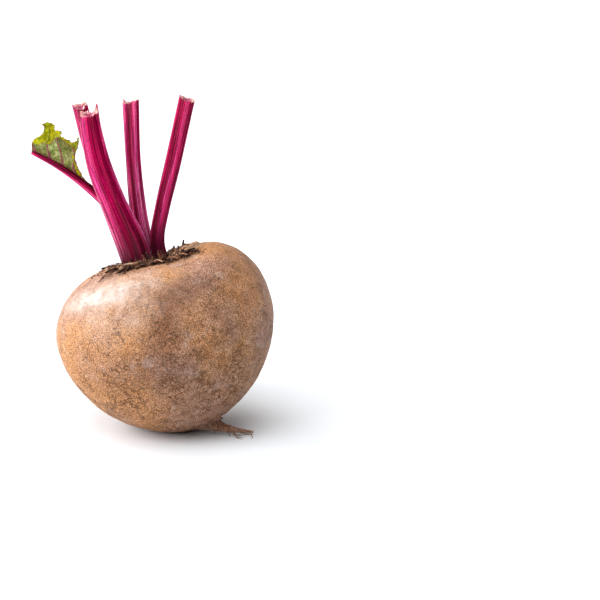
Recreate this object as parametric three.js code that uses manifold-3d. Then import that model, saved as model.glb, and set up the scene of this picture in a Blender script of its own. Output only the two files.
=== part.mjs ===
// A trimmed table beetroot: one swollen root with the stump of its tap root, the dry crown of withered leaf
// bases on top, four leaf stalks cut a hand's breadth up, and a thin stalk that still carries a torn leaf.
// Millimetres, +Z up. The origin is the middle of the small flat spot that the root rests on.
//
// Everything is shaped in the root's own frame: U to the right, V to the back, W from the tap root to the
// crown. One group then leans that frame back and to the left, as the root lies at rest.
import * as THREE from "three";
import { mergeVertices } from "three/addons/utils/BufferGeometryUtils.js";
import Module from "manifold-3d";

const wasm = await Module();
wasm.setup();

// ---- Driving dimensions ----

const LEAN_BACK = THREE.MathUtils.degToRad(16);
const LEAN_LEFT = THREE.MathUtils.degToRad(16);
const ROOT_MIDDLE = new THREE.Vector3(-0.11, 0.1, 38);

const ROOT_RADIUS = 43.8;
const WIDEST_LEVEL = 3.5;
const SHOULDER_RISE = 30.5;
const KEEL_DROP = 43.2;
const SHOULDER_POWER = 2.4; // over 2 is squarer than an ellipse
const KEEL_POWER = 1.85; // under 2 is more pointed
const ROOT_SIDES = 54;
const ROOT_ROWS = 36;

// The hollow that the crown lies in.
const BASIN = { u: 3, v: -4, radius: 28, depth: 4.9 };

// Swellings and furrows: around in degrees from +U, level along W, their spreads, and the rise in mm.
const LUMPS = [
  { around: 0, level: 29, wide: 50, tall: 8, rise: 1.5 },
  { around: -85, level: 31, wide: 50, tall: 7, rise: -2.2 },
  { around: -62, level: 25, wide: 13, tall: 8, rise: -1.6 },
  { around: -80, level: 13, wide: 13, tall: 9, rise: -1.4 },
  { around: -88, level: 0, wide: 16, tall: 9, rise: -0.7 },
  { around: -126, level: 14, wide: 32, tall: 15, rise: 1.0 },
  { around: -30, level: 14, wide: 26, tall: 15, rise: 1.1 },
  { around: 62, level: 22, wide: 15, tall: 12, rise: -1.6 },
  { around: 98, level: 8, wide: 30, tall: 18, rise: 1.2 },
  { around: 142, level: 16, wide: 14, tall: 14, rise: -1.2 },
  { around: 30, level: -12, wide: 24, tall: 12, rise: 0.8 },
  { around: -60, level: -22, wide: 26, tall: 10, rise: -0.7 },
];

// The trimmed tap root, as distances from the resting spot: it bends away along the surface.
const TAP_ROOT = [
  { at: [9, -8, 9], radius: 7 },
  { at: [14, -11.5, 5.6], radius: 4.6 },
  { at: [19, -13.6, 3.6], radius: 2.9 },
  { at: [24.5, -14.8, 2.7], radius: 1.9 },
  { at: [29.5, -15, 2.9], radius: 1.4 },
];

// The dry crown: a lens of corky leaf scars let into the root, ringed with flakes of old leaf bases.
const CROWN_RADIUS = 19;
const CROWN_THICKNESS = 5;
const CROWN_LIP = 2.6; // how far its slanting wall stands off the bottom
const CROWN_SIDES = 40;
const SCAR_RINGS = [19, 16.9, 14.4, 11.9, 9.4, 6.9, 3.8];
const FLAKE_THICKNESS = 0.8;
const FLAKE_CLEARANCE = 1.2; // of a flake's middle line above the skin beyond the crown
const FLAKE_SEED = 19;
const FIT_GAP = 0.3; // between pieces that touch
const SLIVER = 0.02; // corners closer to a face than this are merged away after cutting

// Stubs stand among the stalks, the fringe leans out over the rim, and a few long flakes hang over it: how
// many, the way round they start in degrees from +U, the ring they start in and how high above the hollow's
// floor, how far they turn off straight outwards, their rise and curl per step in radians, their length and
// their width.
const FLAKE_KINDS = [
  {
    count: 26,
    around: [0, 360],
    ring: [4, 11.5],
    start: -0.8,
    turned: 2.4,
    rise: [0.6, 1.35],
    curl: [-0.25, 0.1],
    length: [3.2, 5.4],
    width: [1.8, 3.6],
  },
  {
    count: 34,
    around: [58, 312],
    ring: [13, 17.6],
    start: 0.3,
    turned: 1.2,
    rise: [-0.15, 0.28],
    curl: [-0.3, 0.05],
    length: [3.4, 6.4],
    width: [2, 4.2],
  },
  {
    count: 5,
    around: [-152, -112],
    ring: [16.5, 17.6],
    start: 0.3,
    turned: 0.7,
    rise: [0, 0.2],
    curl: [-0.4, -0.2],
    length: [8, 11],
    width: [2.4, 3.6],
  },
  {
    count: 5,
    around: [-68, -42],
    ring: [16, 17.6],
    start: 0.3,
    turned: 0.9,
    rise: [0, 0.3],
    curl: [-0.4, -0.2],
    length: [5, 7],
    width: [2.4, 3.8],
  },
];

// Leaf stalks: faces is the way the rounded outer side looks, in degrees from +U, and each station is
// [U, V, W, width, thickness]. teeth is how ragged the cut is, and notch how far its middle is split. channel is
// the depth of the groove along the inner side, as a share of the half thickness.
const STALK_SIDES = 32;
const STALK_STEPS = 12;
const RIBS = 8;
const RIB_HEIGHT = 0.06; // as a share of the section's size
const CHANNEL_WIDTH = 0.45; // as a share of the half width
const STALKS = {
  stalk_front: {
    faces: 242,
    channel: 0.55,
    teeth: 0.7,
    notch: 0.6,
    stations: [
      [-3.6, -4.4, 26, 12.6, 6.4],
      [-3.8, -5.6, 38.4, 13, 7],
      [-6.1, -6.8, 56, 11.2, 6.6],
      [-7.4, -7.8, 71.2, 10.6, 6.4],
      [-6.6, -8.6, 84.5, 9, 6],
      [-5.4, -9, 92.6, 7.8, 5.8],
    ],
  },
  stalk_back: {
    faces: 170,
    channel: 0.55,
    teeth: 0.7,
    notch: 0.8,
    stations: [
      [-7.4, 5.2, 26, 7.4, 5],
      [-7, 5, 38, 7.4, 5.4],
      [-8.4, 4.4, 58, 7, 6],
      [-9.3, 3.2, 80, 6.6, 6],
      [-8.7, 2.4, 97.4, 6.6, 6.2],
    ],
  },
  stalk_middle: {
    faces: 72,
    channel: 0.4,
    teeth: 0.6,
    notch: 1.4,
    stations: [
      [0.9, 5.6, 26, 6.4, 5],
      [0.8, 6.6, 39.5, 6.6, 5.2],
      [2, 8.4, 53.6, 6.6, 5.2],
      [5.3, 11.6, 72.3, 6.1, 5],
      [10.5, 14, 94.6, 6.8, 4.8],
    ],
  },
  stalk_right: {
    faces: 72,
    channel: 0.22,
    teeth: 0.6,
    notch: 0,
    stations: [
      [5.4, -1, 26, 6.2, 5],
      [6.2, -0.8, 37.2, 5.7, 5.4],
      [11.5, 0, 48.8, 5.8, 5.6],
      [20.9, 1.4, 65.9, 6.5, 5.6],
      [33.1, 2.6, 88.6, 6.6, 5.6],
    ],
  },
  leaf_stalk: {
    faces: 225,
    channel: 0.4,
    teeth: 0,
    notch: 0,
    stations: [
      [-2.8, 10, 26, 4.8, 4],
      [-4, 11, 38, 4.4, 3.8],
      [-9, 12, 54.8, 3.9, 3.5],
      [-15.8, 12, 66.4, 3.1, 3.1],
      [-24.1, 11, 77.1, 2.6, 2.6],
      [-33.3, 10, 86, 1.7, 1.7],
    ],
  },
};

// The torn leaf is a trough over the outer part of its stalk: a web stands up from the stalk, and above it two
// waved sheets part, the near one leaning to the front and the far one to the back. Each is cut to its own torn
// outline, [U, W].
const LEAF_THICKNESS = 0.85;
const LEAF_WEB = 4; // how high the web stands above the stalk's middle line
const LEAF_GRID = { from: 0.46, to: 1.08, height: 29, columns: 22, rows: 18 }; // from and to along the stalk
const LEAF_RIGHT_EDGE = [
  [-15.1, 69],
  [-16.3, 71.4],
  [-17.1, 74.7],
  [-17.5, 78.4],
];
const NEAR_SHEET = {
  lean: -0.3,
  wave: 0.55,
  phase: 0.4,
  outline: [
    [-16.8, 80.5],
    [-16.4, 82.6],
    [-17.3, 84.5],
    [-18.4, 85.4],
    [-18.9, 86.8],
    [-20.5, 88.3],
    [-22.2, 89.2],
    [-23.1, 88.4],
    [-24.7, 87.7],
    [-26.1, 87.2],
    [-27.6, 89],
    [-28.7, 88.4],
    [-30.4, 88.2],
    [-31.7, 88.7],
    [-32.8, 88.3],
    [-33.6, 87.3],
  ],
};
const FAR_SHEET = {
  lean: 0.24,
  wave: 0.7,
  phase: 2.3,
  outline: [
    [-16.8, 80.8],
    [-15.7, 82.8],
    [-14.6, 84.9],
    [-13.7, 87.4],
    [-14.6, 87.6],
    [-15, 86.2],
    [-16, 86.1],
    [-17.1, 85.8],
    [-17.7, 87.2],
    [-18.9, 87.6],
    [-19.5, 88.6],
    [-20.5, 89.2],
    [-19.5, 90.8],
    [-20.1, 91.6],
    [-21.2, 92.1],
    [-22.3, 92.3],
    [-21.6, 94.4],
    [-22.6, 95.4],
    [-24.2, 96.6],
    [-25.2, 96.3],
    [-27, 96.2],
    [-26, 95],
    [-26.3, 93.8],
    [-27, 92.7],
    [-28, 91.8],
    [-29.7, 91.6],
    [-31.3, 91],
    [-32.3, 90],
    [-33.1, 88.6],
    [-33.7, 87.3],
  ],
};

const MATERIALS = {
  skin: new THREE.MeshStandardMaterial({ color: "#c39a6e", roughness: 0.62 }),
  crown: new THREE.MeshStandardMaterial({ color: "#5a4332", roughness: 0.85 }),
  stalk: new THREE.MeshStandardMaterial({ color: "#9c0f4b", roughness: 0.35 }),
  leaf: new THREE.MeshStandardMaterial({ color: "#7f9a32", roughness: 0.45 }),
};

// ---- Tools ----

function seededRandom(seed) {
  let state = seed;
  return () => {
    state = (state + 0x6d2b79f5) | 0;
    let mixed = Math.imul(state ^ (state >>> 15), 1 | state);
    mixed = (mixed + Math.imul(mixed ^ (mixed >>> 7), 61 | mixed)) ^ mixed;
    return ((mixed ^ (mixed >>> 14)) >>> 0) / 4294967296;
  };
}

// The body of some points and triangles, whichever way round they were listed, with its faces outwards.
function closedBody(points, faces) {
  const crossed = new THREE.Vector3();
  const volume = faces.reduce(
    (sum, [a, b, c]) => sum + points[a].dot(crossed.crossVectors(points[b], points[c])),
    0,
  );
  const outward = volume > 0 ? faces : faces.map(([a, b, c]) => [a, c, b]);
  return new THREE.BufferGeometry().setFromPoints(points).setIndex(outward.flat());
}

// A closed body through a row of rings with equal counts, each end drawn to a point.
function loft(rings, startPoint, endPoint) {
  const sides = rings[0].length;
  const points = [startPoint, ...rings.flat(), endPoint];
  const faces = [];
  const last = points.length - 1;
  const corner = (row, side) => 1 + row * sides + (side % sides);
  for (let side = 0; side < sides; side += 1) {
    faces.push([0, corner(0, side + 1), corner(0, side)]);
    for (let row = 0; row < rings.length - 1; row += 1) {
      const [a, b] = [corner(row, side), corner(row, side + 1)];
      const [c, d] = [corner(row + 1, side), corner(row + 1, side + 1)];
      faces.push([a, b, d], [a, d, c]);
    }
    const top = rings.length - 1;
    faces.push([corner(top, side), corner(top, side + 1), last]);
  }
  return closedBody(points, faces);
}

// A closed sheet over a grid of middle points, both of its faces split into triangles alike.
function sheet(columns, rows, pointAt, half) {
  const points = [];
  for (let row = 0; row <= rows; row += 1) {
    for (let column = 0; column <= columns; column += 1) {
      const middle = pointAt(column / columns, row / rows);
      points.push(middle.clone().sub(half), middle.clone().add(half));
    }
  }
  const corner = (column, row, face) => 2 * (row * (columns + 1) + column) + face;
  const faces = [];
  for (let row = 0; row < rows; row += 1) {
    for (let column = 0; column < columns; column += 1) {
      for (const face of [0, 1]) {
        const [a, b] = [corner(column, row, face), corner(column + 1, row, face)];
        const [c, d] = [corner(column, row + 1, face), corner(column + 1, row + 1, face)];
        faces.push(...(face ? [[a, d, b], [a, c, d]] : [[a, b, d], [a, d, c]]));
      }
    }
  }
  const wall = (a, b, c, d) => faces.push([a, b, d], [a, d, c]);
  for (let column = 0; column < columns; column += 1) {
    const [near, far] = [corner(column, 0, 0), corner(column, rows, 0)];
    wall(near + 2, near, near + 3, near + 1);
    wall(far, far + 2, far + 1, far + 3);
  }
  for (let row = 0; row < rows; row += 1) {
    const [low, high] = [corner(0, row, 0), corner(0, row + 1, 0)];
    wall(low, high, low + 1, high + 1);
    const across = 2 * columns;
    wall(high + across, low + across, high + across + 1, low + across + 1);
  }
  return closedBody(points, faces);
}

function solidOf(geometry) {
  const bare = geometry.clone();
  bare.deleteAttribute("normal");
  bare.deleteAttribute("uv");
  const merged = mergeVertices(bare, 1e-4);
  return new wasm.Manifold(
    new wasm.Mesh({
      numProp: 3,
      vertProperties: merged.attributes.position.array,
      triVerts: new Uint32Array(merged.index.array),
    }),
  );
}

function geometryOf(solid) {
  const mesh = solid.getMesh();
  const positions = new Float32Array(mesh.numVert * 3);
  for (let i = 0; i < mesh.numVert; i += 1) {
    const start = i * mesh.numProp;
    positions.set(mesh.vertProperties.subarray(start, start + 3), i * 3);
  }
  return new THREE.BufferGeometry()
    .setAttribute("position", new THREE.BufferAttribute(positions, 3))
    .setIndex(new THREE.BufferAttribute(mesh.triVerts, 1));
}

function largestBody(solid) {
  return solid.decompose().reduce((best, body) => (body.volume() > best.volume() ? body : best));
}

// Carries the root's frame to where the root rests.
const lean = new THREE.Group();
lean.rotation.set(-LEAN_BACK, -LEAN_LEFT, 0);
lean.position.copy(ROOT_MIDDLE);
lean.updateMatrix();
const toRootFrame = lean.matrix.clone().invert();

// ---- The swollen root ----

function lumpRise(around, level, radius) {
  const fade = THREE.MathUtils.smoothstep(radius, 6, 18);
  return LUMPS.reduce((sum, lump) => {
    const turn = THREE.MathUtils.euclideanModulo(around - lump.around + 180, 360) - 180;
    const near = (turn / lump.wide) ** 2 + ((level - lump.level) / lump.tall) ** 2;
    return sum + fade * lump.rise * Math.exp(-near);
  }, 0);
}

function basinSink(u, v) {
  const away = Math.hypot(u - BASIN.u, v - BASIN.v) / BASIN.radius;
  return away < 1 ? BASIN.depth * 0.5 * (1 + Math.cos(Math.PI * away)) : 0;
}

// A point of the skin. height runs from -90 degrees at the tap root to 90 at the crown.
function skinPoint(height, around) {
  const power = height < 0 ? KEEL_POWER : SHOULDER_POWER;
  const reach = height < 0 ? KEEL_DROP : SHOULDER_RISE;
  const radius = ROOT_RADIUS * Math.cos(height) ** (2 / power);
  const rise = Math.sign(height) * reach * Math.abs(Math.sin(height)) ** (2 / power);
  const [u, v] = [radius * Math.cos(around), radius * Math.sin(around)];
  const outward = new THREE.Vector3(u, v, rise * (ROOT_RADIUS / reach) ** 2).normalize();
  const level = WIDEST_LEVEL + rise;
  const point = new THREE.Vector3(u, v, level);
  point.addScaledVector(outward, lumpRise(THREE.MathUtils.radToDeg(around), level, radius));
  if (height > 0) point.z -= basinSink(point.x, point.y);
  return point;
}

// The skin's level on the root's top, over a place in plan.
function topLevel(u, v) {
  const share = Math.min(Math.hypot(u, v) / ROOT_RADIUS, 1);
  return skinPoint(Math.acos(share ** (SHOULDER_POWER / 2)), Math.atan2(v, u)).z;
}

function swollenRoot() {
  const rings = [];
  for (let row = 1; row < ROOT_ROWS; row += 1) {
    const height = Math.PI * (row / ROOT_ROWS - 0.5);
    rings.push(
      Array.from({ length: ROOT_SIDES }, (_, side) => skinPoint(height, (2 * Math.PI * side) / ROOT_SIDES)),
    );
  }
  return solidOf(loft(rings, skinPoint(-Math.PI / 2, 0), skinPoint(Math.PI / 2, 0)));
}

function tapRoot() {
  const sides = 14;
  const route = new THREE.CatmullRomCurve3(
    TAP_ROOT.map(({ at }) => new THREE.Vector3(...at).applyMatrix4(toRootFrame)),
  );
  const radii = new THREE.CatmullRomCurve3(TAP_ROOT.map(({ radius }) => new THREE.Vector3(radius, 0, 0)));
  const steps = 12;
  const side = new THREE.Vector3(0, 1, 0);
  const rings = [];
  for (let step = 0; step <= steps; step += 1) {
    const tangent = route.getTangent(step / steps);
    const across = new THREE.Vector3().crossVectors(tangent, side).normalize();
    const up = new THREE.Vector3().crossVectors(across, tangent);
    const radius = radii.getPoint(step / steps).x;
    rings.push(
      Array.from({ length: sides }, (_, i) => {
        const turn = (2 * Math.PI * i) / sides;
        return route
          .getPoint(step / steps)
          .addScaledVector(across, radius * Math.cos(turn))
          .addScaledVector(up, radius * Math.sin(turn));
      }),
    );
  }
  return solidOf(loft(rings, route.getPoint(0), route.getPoint(1)));
}

// Everything under the surface that the root rests on.
function ground() {
  const [width, depth] = [400, 100];
  const block = new THREE.BoxGeometry(width, width, depth);
  block.translate(0, 0, -depth / 2);
  return solidOf(block.applyMatrix4(toRootFrame));
}

// ---- The dry crown ----

function crownRing(radius, levelAt) {
  return Array.from({ length: CROWN_SIDES }, (_, side) => {
    const turn = (2 * Math.PI * side) / CROWN_SIDES;
    const [u, v] = [BASIN.u + radius * Math.cos(turn), BASIN.v + radius * Math.sin(turn)];
    return new THREE.Vector3(u, v, levelAt(u, v, radius, turn));
  });
}

// Ring upon ring of leaf scars, over the hollow's own floor.
function scarLevel(u, v, radius, turn) {
  const rings = 0.4 * Math.cos((2 * Math.PI * radius) / 4.6);
  const pits = 0.4 * Math.sin(7 * turn + radius) * Math.sin(3 * turn - 0.6 * radius);
  return topLevel(u, v) + 0.7 + rings + pits;
}

const crownBottom = topLevel(BASIN.u, BASIN.v) - CROWN_THICKNESS;

function crownLens() {
  const underside = crownRing(CROWN_RADIUS - CROWN_LIP, () => crownBottom);
  const wall = crownRing(CROWN_RADIUS, () => crownBottom + CROWN_LIP);
  const top = SCAR_RINGS.map((radius) => crownRing(radius, scarLevel));
  return solidOf(
    loft(
      [underside, wall, ...top],
      new THREE.Vector3(BASIN.u, BASIN.v, crownBottom),
      new THREE.Vector3(BASIN.u, BASIN.v, scarLevel(BASIN.u, BASIN.v, 0, 0)),
    ),
  );
}

// The pocket in the root that the lens lies in, open at the top.
function crownPocket() {
  const wide = CROWN_RADIUS + FIT_GAP;
  const bottom = crownBottom - FIT_GAP;
  const open = crownBottom + 20;
  return solidOf(
    loft(
      [
        crownRing(wide - CROWN_LIP, () => bottom),
        crownRing(wide, () => bottom + CROWN_LIP),
        crownRing(wide, () => open),
      ],
      new THREE.Vector3(BASIN.u, BASIN.v, bottom),
      new THREE.Vector3(BASIN.u, BASIN.v, open),
    ),
  );
}

// One flake of an old leaf base: a curled, tapering strip that starts inside the lens, and follows the skin
// beyond it.
function flake(kind, random) {
  const between = (from, to) => from + (to - from) * random();
  const turn = THREE.MathUtils.degToRad(between(...kind.around));
  const radius = between(...kind.ring);
  const outward = turn + between(-0.5, 0.5) * kind.turned;
  const rise = between(...kind.rise);
  const curl = between(...kind.curl);
  const length = between(...kind.length);
  const width = between(...kind.width);
  const steps = 3;
  const place = new THREE.Vector3(BASIN.u + radius * Math.cos(turn), BASIN.v + radius * Math.sin(turn), 0);
  place.z = topLevel(place.x, place.y) + kind.start;
  const across = new THREE.Vector3(-Math.sin(outward), Math.cos(outward), 0);
  const rings = [];
  for (let step = 0; step <= steps; step += 1) {
    const angle = rise + curl * step;
    const along = new THREE.Vector3(
      Math.cos(outward) * Math.cos(angle),
      Math.sin(outward) * Math.cos(angle),
      Math.sin(angle),
    );
    const normal = new THREE.Vector3().crossVectors(along, across).normalize();
    const half = (width / 2) * (1 - 0.55 * (step / steps) ** 2);
    const beyond = Math.hypot(place.x - BASIN.u, place.y - BASIN.v) > CROWN_RADIUS - 1.5;
    if (beyond && step > 0) place.z = topLevel(place.x, place.y) + FLAKE_CLEARANCE;
    rings.push(
      [
        [1, 1],
        [-1, 1],
        [-1, -1],
        [1, -1],
      ].map(([side, face]) =>
        place
          .clone()
          .addScaledVector(across, side * half)
          .addScaledVector(normal, (face * FLAKE_THICKNESS) / 2),
      ),
    );
    place.addScaledVector(along, length / steps);
  }
  const middle = (ring) => ring.reduce((sum, p) => sum.add(p), new THREE.Vector3()).divideScalar(4);
  return solidOf(loft(rings, middle(rings[0]), middle(rings[steps])));
}

function dryCrown(stalkSockets) {
  const random = seededRandom(FLAKE_SEED);
  const flakes = FLAKE_KINDS.flatMap((kind) =>
    Array.from({ length: kind.count }, () => flake(kind, random)),
  );
  const whole = wasm.Manifold.union([crownLens(), ...flakes]);
  return largestBody(wasm.Manifold.difference([whole, ...stalkSockets]).simplify(SLIVER));
}

// ---- The leaf stalks ----

// The route, its sizes and its directions at a share of the way up a stalk.
function stalkStation(stalk, share) {
  const route = new THREE.CatmullRomCurve3(stalk.stations.map(([u, v, w]) => new THREE.Vector3(u, v, w)));
  const sizes = new THREE.CatmullRomCurve3(
    stalk.stations.map(([, , , width, thickness]) => new THREE.Vector3(width, thickness, 0)),
  );
  const faces = THREE.MathUtils.degToRad(stalk.faces);
  const tangent = route.getTangent(share);
  const outward = new THREE.Vector3(Math.cos(faces), Math.sin(faces), 0);
  outward.addScaledVector(tangent, -outward.dot(tangent)).normalize();
  const across = new THREE.Vector3().crossVectors(outward, tangent);
  const size = sizes.getPoint(share);
  return { at: route.getPoint(share), tangent, outward, across, width: size.x, thickness: size.y };
}

// A ribbed section, rounded on the outer side and grooved on the inner one.
function stalkSection(station, channel, spare) {
  const halfWidth = station.width / 2 + spare;
  const halfThick = station.thickness / 2 + spare;
  return Array.from({ length: STALK_SIDES }, (_, side) => {
    const turn = (2 * Math.PI * side) / STALK_SIDES;
    const rib = 1 + RIB_HEIGHT * Math.cos(RIBS * turn);
    const x = halfWidth * rib * Math.cos(turn);
    let y = halfThick * rib * Math.sin(turn);
    const middle = Math.exp(-((x / (CHANNEL_WIDTH * halfWidth)) ** 2));
    if (y < 0) y += channel * (halfThick - spare) * middle;
    return station.at.clone().addScaledVector(station.across, x).addScaledVector(station.outward, y);
  });
}

// spare fattens the stalk all over, for the hole that it stands in.
function leafStalk(stalk, spare = 0) {
  const rings = [];
  for (let step = 0; step <= STALK_STEPS; step += 1) {
    rings.push(stalkSection(stalkStation(stalk, step / STALK_STEPS), stalk.channel, spare));
  }
  const foot = stalkStation(stalk, 0);
  for (const point of rings[0]) point.addScaledVector(foot.tangent, -spare);
  foot.at.addScaledVector(foot.tangent, -spare);
  const head = stalkStation(stalk, 1);
  rings[STALK_STEPS].forEach((point, side) => {
    const turn = (2 * Math.PI * side) / STALK_SIDES;
    const tooth = stalk.teeth * (Math.sin(3.1 * side) + 0.6 * Math.cos(5.3 * side));
    const split = stalk.notch * Math.cos(turn) ** 4;
    point.addScaledVector(head.tangent, tooth * 0.6 + split);
  });
  head.at.addScaledVector(head.tangent, -stalk.teeth);
  return solidOf(loft(rings, foot.at, head.at));
}

// ---- The torn leaf ----

// A prism through the leaf, from front to back, of an outline that closes along the stalk below it.
function outlinePrism(outline) {
  const foot = [1, 0.9, 0.8, 0.7, 0.6, 0.52].map((share) => {
    const { at, tangent, width, thickness } = stalkStation(STALKS.leaf_stalk, share);
    const clear = Math.max(width, thickness) / 2 + FIT_GAP;
    return [at.x + clear * tangent.z, at.z - clear * tangent.x];
  });
  const corners = [...LEAF_RIGHT_EDGE, ...outline, ...foot].map(([u, w]) => new THREE.Vector2(u, w));
  const depth = 60;
  const prism = new THREE.ExtrudeGeometry(new THREE.Shape(corners), { depth, bevelEnabled: false });
  prism.translate(0, 0, -depth / 2);
  prism.rotateX(Math.PI / 2);
  return solidOf(prism);
}

// The stalk's middle line, run on straight past its tip.
function leafFoot(share) {
  const { at, tangent } = stalkStation(STALKS.leaf_stalk, Math.min(share, 1));
  return at.addScaledVector(tangent, 60 * Math.max(share - 1, 0));
}

function leafHalf({ lean: slope, wave, phase, outline }) {
  const pointAt = (across, up) => {
    const foot = leafFoot(THREE.MathUtils.lerp(LEAF_GRID.from, LEAF_GRID.to, across));
    const height = LEAF_GRID.height * up;
    const apart = Math.max(height - LEAF_WEB, 0);
    const ripple = wave * Math.min(apart / 8, 1.3) * Math.sin(19 * across + 0.12 * height + phase);
    const cup = 0.06 * Math.sin(9 * across) * height;
    return foot.add(new THREE.Vector3(0, slope * apart + ripple + cup, height));
  };
  const half = new THREE.Vector3(0, LEAF_THICKNESS / 2, 0);
  const whole = sheet(LEAF_GRID.columns, LEAF_GRID.rows, pointAt, half);
  return solidOf(whole).intersect(outlinePrism(outline));
}

function tornLeaf() {
  return largestBody(leafHalf(NEAR_SHEET).add(leafHalf(FAR_SHEET)).simplify(SLIVER));
}

// ---- The whole beetroot ----

function piece(name, solid, material) {
  const mesh = new THREE.Mesh(geometryOf(solid), material);
  mesh.name = name;
  lean.add(mesh);
}

const root = wasm.Manifold.union([swollenRoot(), tapRoot()]).subtract(ground()).subtract(crownPocket());
piece("swollen_root", root, MATERIALS.skin);

const sockets = Object.values(STALKS).map((stalk) => leafStalk(stalk, FIT_GAP));
piece("dry_crown", dryCrown(sockets), MATERIALS.crown);

for (const [name, stalk] of Object.entries(STALKS)) piece(name, leafStalk(stalk), MATERIALS.stalk);
piece("torn_leaf", tornLeaf(), MATERIALS.leaf);

const beetroot = new THREE.Group();
beetroot.add(lean);

export default beetroot;
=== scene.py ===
import math
from random import Random

import bpy
import numpy as np
from mathutils import Matrix, Vector, kdtree, noise


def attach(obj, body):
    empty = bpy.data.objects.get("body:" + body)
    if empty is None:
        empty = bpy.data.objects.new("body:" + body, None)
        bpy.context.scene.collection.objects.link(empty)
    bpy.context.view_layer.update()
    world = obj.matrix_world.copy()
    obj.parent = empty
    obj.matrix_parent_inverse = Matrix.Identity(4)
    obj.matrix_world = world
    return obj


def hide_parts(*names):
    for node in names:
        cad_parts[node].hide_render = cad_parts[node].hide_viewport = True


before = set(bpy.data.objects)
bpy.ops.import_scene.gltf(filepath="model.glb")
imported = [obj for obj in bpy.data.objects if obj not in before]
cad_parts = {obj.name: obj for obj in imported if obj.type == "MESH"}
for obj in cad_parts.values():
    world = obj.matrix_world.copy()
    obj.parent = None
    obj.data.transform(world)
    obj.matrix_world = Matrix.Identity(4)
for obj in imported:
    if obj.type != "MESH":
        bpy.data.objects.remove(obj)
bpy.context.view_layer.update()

# ---- Sizes, in millimetres, in the root's own frame: U right, V back, W from the tap root to the crown ----

MM = 0.001
LEAN_BACK = math.radians(16)
LEAN_LEFT = math.radians(16)
ROOT_MIDDLE = Vector((-0.11, 0.1, 38))  # in the world
LEAN = Matrix.Rotation(-LEAN_BACK, 3, "X") @ Matrix.Rotation(-LEAN_LEFT, 3, "Y")

ROOT_RADIUS = 43.8
WIDEST_LEVEL = 3.5
SHOULDER_RISE = 30.5
SHOULDER_POWER = 2.4
SKIN_VOXEL = 0.6
# The skin's relief: the height and size of its swellings, what is taken off all over to leave room for them,
# and the depth and size of its creases, which run round the root, and of its dents.
SWELLS = [(0.3, 11), (0.18, 4.3)]
SKIN_SINK = 0.2
CREASE_DEPTH = 0.4
CREASE_SIZE = (8, 2.2)
DENT_DEPTH = 0.5
DENT_SIZE = 2.3
# Painted shade along a furrow that leans across the front: the way round in degrees where it crosses level 0,
# its lean in degrees a millimetre, its spread in degrees and how dark the painted shade is.
FURROW_SHADE = (-88, 0.6, 10, 0.6)
# Painted highlight with pale rubbed skin, golden patches and painted shade: the kind, the way round in
# degrees and the level of the middle, its spread each way, and how strong.
TINTS_AND_LIGHT = [
    ("rubbed_and_highlight", -118, 21.2, 32, 4, 1.0),
    ("rubbed_and_highlight", -104, 12, 24, 8, 0.34),
    ("golden", -118, 8, 30, 12, 0.3),
    ("golden", -165, 0, 24, 16, 0.5),
    ("golden", -76, 22, 12, 4, 0.7),
    ("golden", -32, 27, 18, 5, 0.45),
    ("golden", -138, -20, 32, 14, 0.55),
    ("painted_shade", -64, 15, 16, 6, 0.35),
    ("painted_shade", -106, -13, 30, 9, 0.3),
]

# The tap root's tail in world millimetres, from where it leaves the body: places on the solid's middle line,
# where each lies on the finer tail's, and its thickness there as a share of the solid's.
TAIL = [
    ((9, -8, 9), (9, -8, 9), 1),
    ((14, -11.5, 5.6), (14.4, -11.4, 5.4), 0.96),
    ((19, -13.6, 3.6), (20.4, -13.6, 3.7), 0.85),
    ((24.5, -14.8, 2.7), (27.6, -14.3, 2.4), 0.66),
    ((31.2, -15, 2.9), (36.8, -12.9, 0.9), 0.3),
]
TAIL_REACH = (8.5, 6.2, 4.4, 3.4, 3.2)  # skin nearer than this to the middle line belongs to the tail
TAIL_CREASE = 0.09  # as a share of the tail's thickness
# Side roots: where they leave the tail, counted in its places, their length, their width where they leave it,
# what is left of it from one ring to the next, and how much they sag.
HAIR_SEED = 11
HAIR_COUNT = 26
HAIR_PLACES = (0.9, 3.7)
HAIR_LENGTH = (4, 11)
HAIR_WIDTH = (0.35, 0.75)
HAIR_SIDES = 6
HAIR_POINTS = 7
HAIR_TAPER = 0.82
HAIR_SAG = 0.22
HAIR_REST = 0.2  # of its middle above the ground

# The crown's hollow, and the swellings and furrows of the top: around in degrees, level, spreads and rise.
BASIN_U = 3.0
BASIN_V = -4.0
BASIN_RADIUS = 28.0
BASIN_DEPTH = 4.9
TOP_LUMPS = [
    (0, 29, 50, 8, 1.5),
    (-85, 31, 50, 7, -2.2),
    (-62, 25, 13, 8, -1.6),
    (-80, 13, 13, 9, -1.4),
    (-126, 14, 32, 15, 1.0),
    (-30, 14, 26, 15, 1.1),
    (62, 22, 15, 12, -1.6),
    (98, 8, 30, 18, 1.2),
    (142, 16, 14, 14, -1.2),
]
CROWN_RADIUS = 19.0
CORK_RADIUS = 20.5  # the cork thins out over the skin this far
CORK_SIDES = 240
CORK_RINGS = 60
CORK_LIFT = 0.75  # of the cork above the hollow's floor
CORK_SINK = 0.5  # of the cork's edge under the skin
CORK_ROUGHNESS = 0.35
CORK_WANDER = 0.09  # of its outline in and out, as a share of the radius
SCAR_SPACING = 4.6
SCAR_RISE = 0.45
SCAR_PITS = 0.4

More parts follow.
